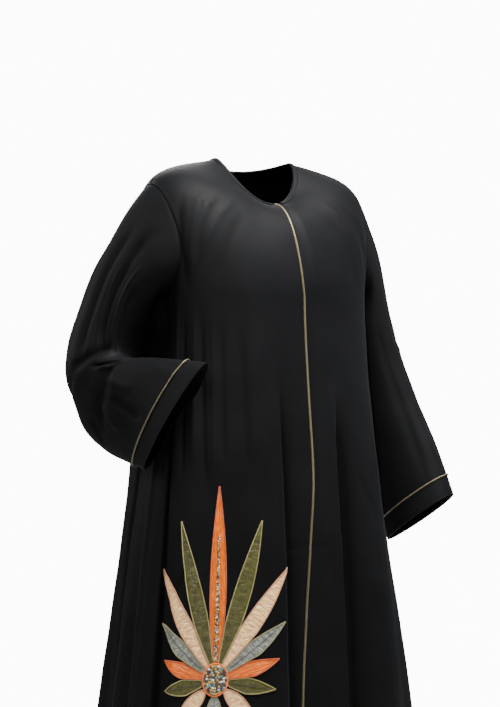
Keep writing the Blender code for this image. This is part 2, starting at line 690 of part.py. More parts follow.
def make_sleeve(side, sleeve, cloth, cord):
    """A sleeve, its hem band and the cord over the seam between them."""
    turn = np.arange(SLEEVE_TURNS) * 360.0 / SLEEVE_TURNS
    band = sleeve.band_start(turn)
    above, below = sleeve.band_start(turn, -0.5 * SEAM_GAP), sleeve.band_start(turn, 0.5 * SEAM_GAP)
    rows = np.linspace(0.0, 1.0, SLEEVE_ROWS + 1)[:, None]
    around = np.broadcast_to(turn, (SLEEVE_ROWS + 1, SLEEVE_TURNS))
    sleeve.wall(f"sleeve_{side}", around, rows * above[None, :], cloth)
    rows = np.linspace(0.0, 1.0, 3)[:, None]
    along = below[None, :] * (1.0 - rows) + rows
    sleeve.wall(f"cuff_band_{side}", np.broadcast_to(turn, along.shape), along, cloth)
    normal = sleeve.normal(turn, band)
    path = sleeve.point(turn, band) + normal * (CUFF_CORD_RADIUS + TRIM_LIFT)
    path, normal = sleeve.placed(path), sleeve.placed(normal)
    cord_object(f"cuff_cord_{side}", path, normal, CUFF_CORD_RADIUS, cord, closed=True)


def make_front_cord(cord):
    """The cord along the right front's free edge, lying on the left front."""
    levels = panel_levels()
    edge = opening_angle(levels)
    pace = np.linalg.norm(body_point(edge + 0.5, levels) - body_point(edge - 0.5, levels), axis=-1)
    beyond = edge + (FRONT_CORD_RADIUS + SEAM_GAP) / pace
    normal = body_normal(beyond, levels)
    height = FRONT_CORD_RADIUS + TRIM_LIFT - WALL - OVERLAP_STEP
    path = body_point(beyond, levels) + normal * height
    cord_object("front_cord", path, normal, FRONT_CORD_RADIUS, cord, closed=False)


def make_neck_binding(made, cloth):
    """A narrow binding round the neck edge, on the top row of the panels' own points."""
    cuts = (("front_left", slice(4, None)), ("back", slice(1, None)), ("front_right", slice(1, -1)))
    outer = np.concatenate([made[name].outer[:2, cut] for name, cut in cuts], axis=1)
    normal = np.concatenate([made[name].normal[:2, cut] for name, cut in cuts], axis=1)
    share = NECK_BINDING_WIDTH / np.linalg.norm(outer[1] - outer[0], axis=-1)
    down = (np.array(NECK_BINDING_SHARES)[:, None] * share[None, :])[..., None]
    base = outer[0] + (outer[1] - outer[0]) * down
    normal = unit(normal[0] + (normal[1] - normal[0]) * down)
    base = base + normal * NECK_BINDING_LIFT
    wall_object("neck_binding", base + normal * NECK_BINDING_WALL, base, cloth)


def draped(panel, across, along):
    """Points over a panel and the panel's normals there, for a grid laid out round the flower's middle.

    Across and along are millimetres from that middle. Each point lies the lift above the panel's facet,
    and is raised where a flat between its points would cut into the panel.
    """

    def found(sideways, upwards):
        level = LEVEL_ARMPIT + (FLOWER_DROP - upwards - ARMPIT_DROP) / (HEM_DROP - ARMPIT_DROP)
        ends = body_point(FLOWER_ANGLE + 0.5, level) - body_point(FLOWER_ANGLE - 0.5, level)
        return panel.on_facet(FLOWER_ANGLE + sideways / np.linalg.norm(ends, axis=-1), level)

    base, normal = found(across, along)
    low, high = slice(None, -1), slice(1, None)
    corners = ((low, low), (low, high), (high, high), (high, low))
    poke = np.zeros((across.shape[0] - 1, across.shape[1] - 1))
    for u in DRAPE_STEPS:
        for v in DRAPE_STEPS:
            weights = (1.0 - u, u - v, v, 0.0) if u >= v else (1.0 - v, 0.0, u, v - u)
            x, y, flat = (
                sum(w * grid[c] for w, c in zip(weights, corners)) for grid in (across, along, base)
            )
            there, out = found(x, y)
            poke = np.maximum(poke, ((there - flat) * out).sum(axis=-1))
    raised = np.full(across.shape, APPLIQUE_LIFT)
    for corner in corners:
        raised[corner] = np.maximum(raised[corner], APPLIQUE_LIFT + poke)
    return base + normal * raised[..., None], normal


def applique(name, panel, across, along, thickness, finish):
    """A raised shape sewn on a panel, with a thickness at each of its points."""
    base, normal = draped(panel, across, along)
    wall_object(name, base + normal * thickness[..., None], base, finish)


def petal_outline(lean, length, half_width, curl, room):
    """Left edge, middle and right edge of a petal in rows, as millimetres across and up.

    The middle line leaves the flower along its lean and turns steadily by the curl. The half width
    swells from a narrow foot and runs out to a point, and stays inside the petal's room, an angle
    seen from the flower's middle.
    """
    share = np.linspace(0.0, 1.0, max(math.ceil(length / PETAL_ROW), PETAL_LEAST_ROWS) + 1)
    turned = math.radians(lean)
    rim = math.hypot(FLOWER_HALF_WIDTH * math.sin(turned), FLOWER_HALF_HEIGHT * math.cos(turned))
    rim = rim + PETAL_GAP
    heading = np.radians(lean + curl * (share - PETAL_TRUE_AT))
    side, ahead = np.sin(heading), np.cos(heading)
    pace = 0.5 * length / (len(share) - 1)
    gone_across = np.concatenate([[0.0], np.cumsum(pace * (side[1:] + side[:-1]))])
    gone_along = np.concatenate([[0.0], np.cumsum(pace * (ahead[1:] + ahead[:-1]))])
    mid_across = rim * math.sin(turned) + gone_across
    mid_along = rim * math.cos(turned) + gone_along
    foot, belly, rise, fall = PETAL_SWELL
    swell = foot * (1.0 - share) ** 2 + belly * share**rise * (1.0 - share) ** fall
    most = np.hypot(mid_across, mid_along) * math.tan(math.radians(0.5 * room)) - PETAL_GAP
    width = np.minimum(half_width * swell + PETAL_TIP, most)
    sides = np.array([-1.0, 0.0, 1.0])
    across = mid_across[:, None] + sides * (width * ahead)[:, None]
    along = mid_along[:, None] - sides * (width * side)[:, None]
    return across, along


def make_flower(panel, finishes):
    """A regular flower of lance-shaped petals in mirrored pairs round a raised, beaded middle."""
    leans = [row[0] for row in PETALS]
    rooms = [leans[1] - leans[0], *np.diff(leans)]
    rooms = [min(a, b) for a, b in zip(rooms, [*rooms[1:], rooms[-1]])]
    for (lean, length, half_width, curl, colour), room in zip(PETALS, rooms):
        across, along = petal_outline(lean, length, half_width, curl, room)
        crown = np.broadcast_to(np.array(PETAL_CROWN) * APPLIQUE_WALL, across.shape)
        in_middle = lean % 180.0 == 0
        for side, label in ((1.0, "middle"),) if in_middle else ((1.0, "left"), (-1.0, "right")):
            name = f"petal_{label}_{int(lean):03d}"
            applique(name, panel, side * across, along, crown, finishes[colour])
    share = np.linspace(0.0, 1.0, MIDDLE_ROWS + 1)
    rise = -np.cos(share * math.pi)
    half = np.sqrt(np.clip(1.0 - rise * rise, 0.0, 1.0)) * FLOWER_HALF_WIDTH + PETAL_TIP
    across = half[:, None] * np.linspace(-1.0, 1.0, MIDDLE_COLUMNS + 1)[None, :]
    along = np.broadcast_to((rise * FLOWER_HALF_HEIGHT)[:, None], across.shape)
    rim = (FLOWER_HALF_WIDTH + MIDDLE_RIM, FLOWER_HALF_HEIGHT + MIDDLE_RIM)
    from_middle = (across / rim[0]) ** 2 + (along / rim[1]) ** 2
    dome = np.sqrt(np.clip(1.0 - from_middle, 0.0, 1.0))
    thickness = APPLIQUE_WALL + (FLOWER_RISE - APPLIQUE_WALL) * dome
    applique("flower_middle", panel, across, along, thickness, finishes["beads"])


def main():
    for old in list(bpy.data.objects):
        bpy.data.objects.remove(old)
    finishes = {name: material(name) for name in COLOURS}
    cloth, cord = finishes["cloth"], finishes["cord"]
    made = make_body(cloth)
    make_sleeve("left", Sleeve(1.0, LEFT_SLEEVE, LEFT_TROUGHS), cloth, cord)
    make_sleeve("right", Sleeve(-1.0, RIGHT_SLEEVE, RIGHT_TROUGHS), cloth, cord)
    make_front_cord(cord)
    make_neck_binding(made, cloth)
    make_flower(made["front_right"], finishes)


main()
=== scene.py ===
"""Looks of a long black abaya cloak: crepe shells, twisted gold cord, a satin flower with beads.

The surface functions repeat the ones that the solids are made from, so that each piece lies where its
solid lies. Everything is worked out in millimetres and made in metres. The front faces -Y, the wearer's
left is +X and +Z is up. Angles round the body start at the centre front and grow towards the wearer's
left. A level runs down the body: 0 at the neck edge, 1 at the armpit, 2 at the hem.
"""

import math

import bpy
import numpy as np
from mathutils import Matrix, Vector


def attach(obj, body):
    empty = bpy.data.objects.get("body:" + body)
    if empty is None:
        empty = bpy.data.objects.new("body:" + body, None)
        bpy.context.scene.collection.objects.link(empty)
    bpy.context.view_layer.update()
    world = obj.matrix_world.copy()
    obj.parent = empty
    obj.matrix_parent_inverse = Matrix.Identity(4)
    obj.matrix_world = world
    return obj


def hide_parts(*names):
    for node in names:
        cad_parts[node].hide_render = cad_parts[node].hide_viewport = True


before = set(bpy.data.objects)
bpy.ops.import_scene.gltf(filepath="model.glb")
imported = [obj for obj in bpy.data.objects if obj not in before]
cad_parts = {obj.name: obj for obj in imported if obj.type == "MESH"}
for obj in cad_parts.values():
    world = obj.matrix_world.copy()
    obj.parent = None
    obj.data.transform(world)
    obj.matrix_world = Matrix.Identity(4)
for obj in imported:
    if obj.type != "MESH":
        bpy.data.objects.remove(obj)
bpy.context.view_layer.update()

METRES = 0.001

# Camera
VIEW_AZIMUTH = -31.0
VIEW_DISTANCE = 3.0
VIEW_HEIGHT = -0.347
VIEW_SHIFT = -0.005
LENS = 84.7
SENSOR = 36.0
FARTHEST = 50.0

# Square lamps: name, metres to the right, up and towards the camera from the view's middle, width and power
LAMPS = (
    ("near_above", 0.5, 1.5, 0.6, 0.7, 135.0),
    ("front_left", -0.6, 1.2, 2.4, 1.2, 34.0),
    ("side_left", -2.3, 1.0, 0.1, 1.2, 32.0),
    ("edge_from_behind_left", -2.1, 0.4, -0.9, 1.0, 8.0),
    ("edge_from_behind_right", 2.1, 0.4, -0.9, 1.0, 5.0),
    ("back_above", -0.4, 1.7, -2.2, 1.2, 90.0),
)
SPOT_PLACE = (-0.1, 0.5, 2.4)
SPOT_AIM = (0.41, -0.12, 0.0)
SPOT_POWER = 330.0
SPOT_ANGLE = 15.0
SPOT_SOFTNESS = 0.12

# White surroundings, as bright as the camera sees them and as they light the cloak, and the floor
WHITE = (1.0, 1.0, 1.0, 1.0)
WHITE_SEEN = 12.0
WHITE_LIGHT = 0.03
PAPER = (0.82, 0.82, 0.82)
FLOOR_RADIUS = 1500.0
FLOOR_BELOW = 6.0
FLOOR_SIDES = 96

# Cloth
SHELL = 1.2
BAND_WALL = 1.9
OVERLAP = 2.6
APPLIQUE_LIFT = 0.35

# Neck opening, measured from the origin
NECK_HALF_WIDTH = 75.0
NECK_FRONT = 66.0
NECK_BACK = 62.0
NECK_FRONT_DROP = 84.0
NECK_BACK_DROP = 14.0
NECK_DIP = 1.6
BINDING_WIDTH = 9.0
BINDING_LIFT = 0.5
BINDING_RISE = 1.3
BINDING_EDGE = 0.25
BINDING_INSET = 0.03
BINDING_SHORT = 3.6
PROBE_LEVEL = 0.1

# Drops and levels
ARMPIT_DROP = 250.0
HEM_DROP = 1420.0
LEVEL_TIP = 0.5
LEVEL_ARMPIT = 1.0
LEVEL_HEM = 2.0

# Roundness of the shoulder line, the chest, the upper back and the plan of the body
ROUND_SHOULDER = 5.6
ROUND_CHEST = 2.0
ROUND_BACK = 2.3
ROUND_PLAN = 2.25
SHOULDER_SLOPE = 0.2
PINCH_START = 0.58
PINCH_SPREAD = 24.0

# Armhole, an ellipse in angle and level round the side
ARMHOLE_HALF_ANGLE = 31.0
ARMHOLE_MIDDLE = 0.5 * (LEVEL_TIP + LEVEL_ARMPIT)
ARMHOLE_HALF_LEVEL = 0.5 * (LEVEL_ARMPIT - LEVEL_TIP)
SEAM_GAP = 0.12
LEAST_PACE = 0.2

# Grooves that seams and stitches press into the cloth: depth, width and distance from the edge. A negative
# depth is a ridge.
PANEL_SEAM = (0.8, 2.2, 0.0)
PANEL_RIDGE = (-0.25, 3.0, 6.0)
HEM_STITCH = (0.5, 1.0, 24.0)
SLEEVE_HEAD_SEAM = (0.8, 2.2, 0.0)
SLEEVE_END_SEAM = (0.5, 1.6, 0.0)
BAND_SEAM = (0.4, 1.2, 0.0)
BAND_STITCH = (0.3, 0.9, 3.0)
RIB_GROOVE = (0.35, 0.16, 0.0)
HEM_DEPTH = 24.0
HEM_PROUD = 0.5
HEM_STEP = 1.5
BAND_PROUD = 0.35

# Front opening: the right front lies over the left one, and a cord edges it
OPENING_COLUMNS = ("level", "place")
OPENING = (
    (0.00, 4.0),
    (1.00, 13.0),
    (1.17, 19.0),
    (1.27, 18.0),
    (1.36, 6.0),
    (1.48, -7.0),
    (1.60, -19.0),
    (2.00, -34.0),
)
OPENING_PROBE = 4.0
LAP_ANGLE = 7.0
TUCK_FLAT_ANGLE = 3.0
TUCK_END_ANGLE = 9.0
FRONT_CORD_RADIUS = 2.3
FRONT_CORD_BESIDE = 0.35
FRONT_CORD_LIFT = 0.2
FRONT_CORD_PITCH = 7.2
CUFF_CORD_RADIUS = 1.5
CUFF_CORD_LIFT = 0.1
CUFF_CORD_PITCH = 5.4
CUFF_BAND_WIDTH = 38.0

# Plan of the body below the armpit
RING_COLUMNS = ("drop", "half_width", "sway", "front", "back", "pinch")
RINGS = (
    (250.0, 226.0, 0.0, 146.0, 118.0, 43.0),
    (400.0, 232.0, 0.0, 152.0, 126.0, 33.0),
    (560.0, 244.0, 3.0, 162.0, 142.0, 14.0),
    (700.0, 258.0, 7.0, 168.0, 160.0, 3.0),
    (950.0, 287.0, 12.0, 175.0, 184.0, 0.0),
    (1420.0, 338.0, 14.0, 198.0, 226.0, 0.0),
)

# Long soft folds that fall to the hem, a row for each ridge: its angle at the top and at the hem, the drop
# where it starts, its depth and the angles over which it rises and falls
FOLDS = (
    (-9.6, -9.4, 330.0, 8.5, 16.0, 4.5),
    (16.5, 6.4, 400.0, 13.0, 13.0, 6.0),
    (48.2, 25.4, 470.0, 16.0, 17.0, 7.0),
    (74.0, 64.0, 560.0, 15.0, 14.0, 10.0),
    (97.0, 96.0, 600.0, 15.0, 10.0, 10.0),
    (118.0, 118.0, 480.0, 20.0, 10.0, 11.0),
    (141.0, 140.0, 430.0, 22.0, 10.0, 11.0),
    (163.0, 162.0, 450.0, 20.0, 11.0, 10.0),
    (-174.0, -175.0, 420.0, 22.0, 11.0, 11.0),
    (-151.0, -152.0, 460.0, 20.0, 10.0, 11.0),
    (-129.0, -130.0, 430.0, 22.0, 10.0, 11.0),
    (-106.0, -107.0, 560.0, 16.0, 10.0, 9.0),
    (-86.0, -88.0, 560.0, 14.0, 9.0, 8.0),
    (-71.0, -73.0, 540.0, 13.0, 8.0, 7.0),
    (-60.0, -62.0, 500.0, -9.0, 5.0, 7.0),
)
FOLD_FULL_DROP = 1100.0
FOLDS_FADE_IN = 0.05
FOLD_CRISPNESS = 0.35

# Creases of the body, placed one by one. Down is 250 times the level above the armpit and the drop below it.
# A row is a soft line between two places: angle and way down of each, then its width and its height, which
# is negative where it is sunk.
BODY_CREASES = (
    # drag lines from the shoulder to the left armhole
    (34.0, 90.0, 45.0, 200.0, 10.0, 1.5),
    (50.0, 120.0, 53.0, 215.0, 8.0, 1.6),
    (43.0, 110.0, 49.0, 190.0, 7.0, -1.0),
    (27.0, 110.0, 38.0, 230.0, 12.0, -1.0),
    (60.0, 140.0, 55.0, 240.0, 9.0, -2.6),
    # the same on the other side
    (-34.0, 92.0, -45.0, 190.0, 10.0, 1.4),
    (-50.0, 116.0, -52.0, 212.0, 8.0, 1.6),
    (-42.0, 106.0, -48.0, 190.0, 7.0, -1.0),
    (-27.0, 112.0, -37.0, 220.0, 12.0, -1.0),
    (-60.0, 136.0, -55.0, 236.0, 9.0, -2.4),
    # gathers that hang from the chest beside the bent arm
    (-80.0, 290.0, -78.0, 470.0, 9.0, 3.0),
    (-72.0, 300.0, -70.0, 500.0, 7.0, -3.0),
    (-63.0, 285.0, -61.0, 500.0, 8.0, 3.0),
    (-56.5, 300.0, -55.0, 540.0, 7.0, -3.0),
    (-50.0, 290.0, -49.0, 520.0, 8.0, 2.4),
    (-45.0, 300.0, -42.5, 560.0, 6.0, -2.2),
    (-39.0, 300.0, -38.0, 560.0, 7.0, 1.8),
    (-34.0, 310.0, -33.0, 540.0, 6.0, -1.8),
    (-24.0, 320.0, -21.0, 560.0, 9.0, -2.2),
    (-17.0, 330.0, -15.0, 540.0, 8.0, 1.4),
    # narrow hollows and crests beside the bent arm
    (-64.0, 430.0, -63.5, 1230.0, 7.0, -7.0),
    (-77.0, 450.0, -77.0, 1230.0, 9.0, 3.0),
    (-93.0, 450.0, -93.0, 1230.0, 9.0, -4.0),
    # slack lines lower down
    (-46.5, 690.0, -59.0, 768.0, 9.0, -2.0),
    (-40.0, 700.0, -52.0, 790.0, 9.0, 1.2),
    (-9.0, 676.0, 13.0, 682.0, 4.0, -1.1),
    (30.0, 560.0, 41.0, 640.0, 9.0, -1.4),
    (5.0, 300.0, 6.0, 620.0, 10.0, -1.4),
    # drag lines across the upper back
    (150.0, 96.0, 135.0, 190.0, 9.0, 2.2),
    (144.0, 104.0, 128.0, 214.0, 8.0, -2.0),
    (-150.0, 92.0, -136.0, 196.0, 9.0, 2.2),
    (-143.0, 108.0, -129.0, 210.0, 8.0, -2.0),
    (160.0, 250.0, 150.0, 420.0, 12.0, -2.6),
    (-165.0, 240.0, -158.0, 430.0, 12.0, -2.4),
    (176.0, 300.0, 178.0, 470.0, 11.0, 2.0),
)
# Sharp edges of the long folds at the front, each between two places. A crest drops off on the wearer's left
# into a hollow, which fills again over its run: crest, hollow and run are the last three numbers.
PLEATS = (
    (-8.6, 330.0, -7.2, 1420.0, 0.9, 6.0, 13.0),
    (16.6, 380.0, 6.4, 1420.0, 1.4, 10.0, 30.0),
    (48.9, 440.0, 25.6, 1420.0, 1.2, 6.0, 16.0),
)
PLEAT_GROWS = 190.0
PLEAT_BACK = 34.0
PLEAT_SIDE = 8.0
CREASE_PACE = 4.2
CREASE_FADE = (0.15, 0.35)
# Depth of a fold in millimetres at which its painted shade is darkest
HOLLOW_FULL = 5.0

# Sleeves: front and back line, with x outwards, and how far the cloth stands out between them
SIDE_COLUMNS = ("outer", "outer_lift", "inner", "inner_lift")
SLEEVE_COLUMNS = (
    "along", "front_x", "front_y", "front_z", "back_x", "back_y", "back_z", *SIDE_COLUMNS
)
LEFT_SLEEVE = (
    (0.00, 191.0, -80.0, -166.0, 191.0, 65.0, -160.0, 116.0, 81.0, 87.0, 84.0),
    (0.16, 210.0, -78.0, -200.0, 208.0, 78.0, -212.0, 91.0, 63.0, 57.0, 78.0),
    (0.34, 236.0, -80.0, -292.0, 232.0, 82.0, -314.0, 52.0, 35.0, 42.0, 42.0),
    (0.52, 265.0, -88.0, -374.0, 258.0, 76.0, -416.0, 46.0, 24.0, 42.0, 26.0),
    (0.70, 296.0, -108.0, -462.0, 287.0, 60.0, -526.0, 45.0, 18.0, 42.0, 18.0),
    (0.85, 318.0, -128.0, -534.0, 308.0, 42.0, -614.0, 44.0, 16.0, 42.0, 16.0),
    (1.00, 336.0, -144.0, -606.0, 326.0, 26.0, -702.0, 43.0, 16.0, 43.0, 16.0),
)
RIGHT_SLEEVE = (
    (0.00, 191.0, -80.0, -166.0, 191.0, 65.0, -160.0, 116.0, 81.0, 87.0, 84.0),
    (0.15, 222.0, -60.0, -192.0, 222.0, 86.0, -204.0, 76.0, 62.0, 70.0, 70.0),
    (0.32, 258.0, -24.0, -258.0, 266.0, 114.0, -274.0, 44.0, 30.0, 80.0, 40.0),
    (0.48, 266.0, -2.0, -344.0, 308.0, 106.0, -385.0, 46.0, 10.0, 88.0, 18.0),
    (0.60, 260.0, -26.0, -354.0, 290.0, 82.0, -474.0, 46.0, 5.0, 56.0, 8.0),
    (0.72, 248.0, -57.0, -354.0, 274.0, 36.0, -514.0, 43.0, 0.0, 42.0, 0.0),
    (0.86, 222.0, -112.0, -357.0, 260.0, -25.0, -534.0, 36.0, 0.0, 42.0, 0.0),
    (1.00, 191.0, -169.0, -362.0, 260.0, -80.0, -541.0, 32.0, 0.0, 43.0, 0.0),
)
SLEEVE_LENGTH = 560.0
SLEEVE_GIRTH = 480.0
HEAD_SHRINK = 0.992
HEAD_TURNS_OVER = 0.06
SLEEVE_SETTLE = 0.4
SLEEVE_CLEARANCE = 9.0
CLEARANCE_ROUNDING = 25.0
CLEARANCE_REACH = 30.0
CLEARANCE_STARTS = (-10.0, 30.0)
CLEARANCE_ALONG = (0.04, 0.16)
CLEARANCE_ROUNDS = 3
CLEARANCE_LEAST_X = 60.0
TROUGHS_START = 0.12
SLEEVE_WAVE_REACH = 120.0
SLEEVE_WAVE_SLANT = 40.0
# Share of a sleeve fold's sinking that counts towards the painted shade in its hollow
SLEEVE_HOLLOW_SHARE = 0.4

# Folds of the sleeves as soft lines between two places: along and turn of each, then the width and the
# depth, which is negative where the line is raised. Turn is the angle round the sleeve: 0 front, 90 outer
# side, 180 back, 270 inner side.
LEFT_TROUGHS = (
    (0.46, 60.0, 0.55, 128.0, 15.0, 4.0),
    (0.44, 20.0, 0.97, 42.0, 20.0, 4.0),
    # crisp front edge that catches the light
    (0.38, 7.0, 0.94, -6.0, 6.0, -4.2),
    (0.30, -22.0, 0.90, -40.0, 12.0, 2.0),
    (0.39, 30.0, 0.45, 44.0, 5.0, 2.6),
    (0.42, 16.0, 0.47, 34.0, 5.0, -2.0),
    # soft folds of the outer side and the back
    (0.18, 80.0, 0.42, 98.0, 10.0, 2.6),
    (0.16, 110.0, 0.40, 124.0, 10.0, -2.2),
    (0.20, 150.0, 0.52, 160.0, 12.0, 3.0),
    (0.50, 150.0, 0.60, 205.0, 11.0, 3.4),
    (0.56, 110.0, 0.96, 120.0, 14.0, -2.4),
    (0.62, 170.0, 0.97, 176.0, 14.0, 2.4),
    (0.60, 215.0, 0.95, 222.0, 12.0, -2.0),
)
RIGHT_TROUGHS = (
    (0.12, 38.0, 0.45, 52.0, 11.0, 7.0),
    (0.14, 66.0, 0.47, 84.0, 12.0, 7.0),
    (0.47, 24.0, 0.50, 104.0, 9.0, 4.6),
    (0.58, 30.0, 0.74, 128.0, 14.0, 6.0),
    (0.55, 138.0, 0.62, 190.0, 14.0, 6.0),
    # two sharp pleats that run down to the elbow
    (0.22, 49.0, 0.45, 53.0, 3.4, -3.8),
    (0.24, 37.0, 0.46, 42.0, 6.0, 3.8),
    (0.22, 20.0, 0.46, 26.0, 3.4, -3.8),
    (0.28, 3.0, 0.48, 8.0, 9.0, 4.0),
    # wrinkles of the bend and the forearm
    (0.53, 64.0, 0.60, 12.0, 5.0, 4.0),
    (0.56, 58.0, 0.64, 20.0, 6.0, -3.0),
    (0.73, 80.0, 0.87, 96.0, 6.0, 4.2),
    (0.69, 92.0, 0.80, 112.0, 6.0, -3.0),
    (0.64, 60.0, 0.78, 66.0, 8.0, -2.4),
    (0.66, 112.0, 0.74, 140.0, 8.0, 3.4),
    (0.80, 30.0, 0.94, 44.0, 12.0, -1.8),
    (0.52, 110.0, 0.56, 180.0, 8.0, 4.0),
    (0.20, 110.0, 0.46, 122.0, 11.0, -3.0),
    (0.18, 140.0, 0.44, 150.0, 11.0, 3.2),
    (0.60, 200.0, 0.92, 214.0, 13.0, 2.6),
)

# Unevenness that all cloth has, as waves over it: length, direction, phase and height
CLOTH_WAVES = (
    (170.0, 24.0, 0.4, 0.55),
    (118.0, 100.0, 1.9, 0.22),
    (74.0, -38.0, 3.1, 0.16),
)
WAVE_REACH = 240.0
WAVE_SLANT = 0.4
CALM_NEAR_NECK = (0.02, 0.12)

# Flower sewn on the right front
FLOWER_ANGLE = -35.4
FLOWER_DROP = 895.0
FLOWER_HALF_WIDTH = 21.0
FLOWER_HALF_HEIGHT = 27.0
PETAL_GAP = 0.4
PETAL_TIP = 0.5
PETAL_TRUE_AT = 0.3
PETAL_SWELL = (0.2, 3.7, 0.9, 1.1)
# Lean, length, half width, curl, colour and rib of each petal
PETALS = (
    (0.0, 296.0, 13.0, 0.0, "orange", "beads"),
    (15.5, 246.0, 13.0, -5.0, "olive", "stitch"),
    (32.0, 186.0, 13.0, -9.0, "peach", "none"),
    (51.0, 116.0, 12.5, -12.0, "silver", "stitch"),
    (75.0, 82.0, 12.5, -12.0, "orange", "none"),
    (103.0, 76.0, 12.5, -6.0, "olive", "stitch"),
    (137.0, 76.0, 12.0, 6.0, "peach", "none"),
    (180.0, 76.0, 12.0, 0.0, "silver", "stitch"),
)
PETAL_WALL = 0.5
PETAL_CROWN = 0.9
PETAL_NARROWEST = 0.3
PETAL_FLATTEST = 0.2
PUCKER = 0.16
PUCKER_LENGTH = 2.1
PUCKER_DRIFT = 2.0
PUCKER_DRIFT_LENGTH = 11.0
EDGE_RADIUS = 1.05
EDGE_RISE = 0.75
RIB_RADIUS = 0.6
RIB_SINK = 0.15
RIB_SPAN = (0.05, 0.86)
RIM_RADIUS = 1.5
RIM_RISE = 1.2
PAD_INSET = 0.6
PAD_TIP = 0.3
PAD_WALL = 0.4
DOME_RISE = 1.56

# Beads in rings over the flower's middle, then in three rows along the rib of its middle petal
BEAD_RADIUS = 2.1
BEAD_STRETCH = 0.82
BEAD_SIZES = (0.86, 0.24)
BEAD_RISE = 0.9
BEAD_RINGS = 6
BEADS_OUT_TO = 0.86
BEAD_SPACING = 3.9
RIB_BEAD_RADIUS = 1.35
RIB_BEAD_RISE = 0.35
RIB_BEADS = 76
RIB_BEAD_STEP = 2.75
RIB_BEADS_START = 5.0
RIB_ROWS_APART = 2.6
RIB_TAPER = 50.0
RIB_CLOSEST = 0.35
RIB_SWAY = 0.5
RIB_SWAY_STEP = 2.3
RIB_STAGGER = 1.3
RIB_FIRST_ROW = 20
RIB_DARKER = 1.4
BALL_SIDES = 8
BALL_RINGS = (-70.0, -30.0, 10.0, 48.0, 78.0)
SCATTER = (12.9898, 78.233, 43758.5453)
SIZE_SCATTER = 7.0

# Mesh density
FRONT_COLUMNS = 190
BACK_COLUMNS = 172
YOKE_ROWS = 58
SKIRT_ROWS = 150
SLEEVE_TURNS = 200
SLEEVE_ROWS = 120
BAND_ROWS = 12
PETAL_ROW = 1.7
PETAL_ROWS_LEAST = 40
PETAL_ACROSS = 12
PETAL_CURVE = 240
THREAD_ROW = 1.3
THREAD_ROWS_LEAST = 50
CLOSEST_POINTS = 0.25
PAD_ROWS = 32
PAD_ACROSS = 24
RIM_POINTS = 160
FRONT_CORD_POINTS = 1650
CUFF_CORD_POINTS = 680
BINDING_POINTS = 300
BINDING_ROWS = 8

# Steps for slopes: down any surface, round the body and round a sleeve
TINY = 1e-3
NEARBY = 0.2
SLEEVE_NEARBY = 1.0
UP = np.array([0.0, 0.0, 1.0])
ASKEW = np.array([0.3, 0.1, 1.0])


def columns_of(names, rows):
    """A table as a dictionary of arrays, one for each named column."""
    return dict(zip(names, np.array(rows, float).T))


def step(x):
    """3x² - 2x³ between 0 and 1, level outside."""
    x = np.clip(x, 0.0, 1.0)
    return x * x * (3.0 - 2.0 * x)


def between(x, ends):
    """The step from the first of two values to the second."""
    return step((x - ends[0]) / (ends[1] - ends[0]))


def bell(x, width):
    """e^-(x / width)²."""
    return np.exp(-((x / width) ** 2))


def arch(x):
    """√(1 - x²) between -1 and 1, zero outside."""
    return np.sqrt(np.clip(1.0 - x * x, 0.0, 1.0))


def wrapped(angle):
    """The same angle between -180 and 180."""
    return (angle + 180.0) % 360.0 - 180.0


def groove(gone, row):
    """Depth times a bell round the groove's place, by the distance from the edge."""
    depth, width, place = row
    return depth * bell(gone - place, width)


def smooth(at, values, x):
    """The cubic through the values at the given places, with a level start."""
    slopes = np.gradient(values, at)
    slopes[0] = 0.0
    i = np.clip(np.searchsorted(at, x, side="right") - 1, 0, len(at) - 2)
    gap = at[i + 1] - at[i]
    u = np.clip((x - at[i]) / gap, 0.0, 1.0)
    from_a = (1 + 2 * u) * (1 - u) ** 2 * values[i] + u * (1 - u) ** 2 * gap * slopes[i]
    from_b = u * u * (3 - 2 * u) * values[i + 1] + u * u * (u - 1) * gap * slopes[i + 1]
    return from_a + from_b


def unit(v):
    """A vector over its own length."""
    return v / np.maximum(np.linalg.norm(v, axis=-1, keepdims=True), 1e-9)


def outward(surface, around, down, beside, end):
    """Cross product of a surface's slopes down and round, with a step each way, as a unit vector."""
    down = np.clip(down, TINY, end - TINY)
    round_it = surface(around + beside, down) - surface(around - beside, down)
    down_it = surface(around, down + TINY) - surface(around, down - TINY)
    return unit(np.cross(down_it, round_it))


def level_at(drop):
    """The level at a drop below the armpit."""
    return LEVEL_ARMPIT + (drop - ARMPIT_DROP) / (HEM_DROP - ARMPIT_DROP)


RING = columns_of(RING_COLUMNS, RINGS)
OPEN = columns_of(OPENING_COLUMNS, OPENING)


def plan(angle):
    """Sine and cosine of the angle, each to the power 2 over the plan's roundness, with their signs."""
    turn = np.radians(angle)
    side, ahead = np.sin(turn), np.cos(turn)
    power = 2.0 / ROUND_PLAN
    return np.sign(side) * np.abs(side) ** power, np.sign(ahead) * np.abs(ahead) ** power


def ring_point(angle, drop):
    """The rounded oval of the ring table at a drop: half width times side, depth times ahead."""
    side, ahead = plan(angle)
    facing = np.where(ahead > 0, smooth(RING["drop"], RING["front"], drop), 0.0)
    depth = facing + np.where(ahead > 0, 0.0, smooth(RING["drop"], RING["back"], drop))
    middle = smooth(RING["drop"], RING["sway"], drop)
    return middle + smooth(RING["drop"], RING["half_width"], drop) * side, -depth * ahead


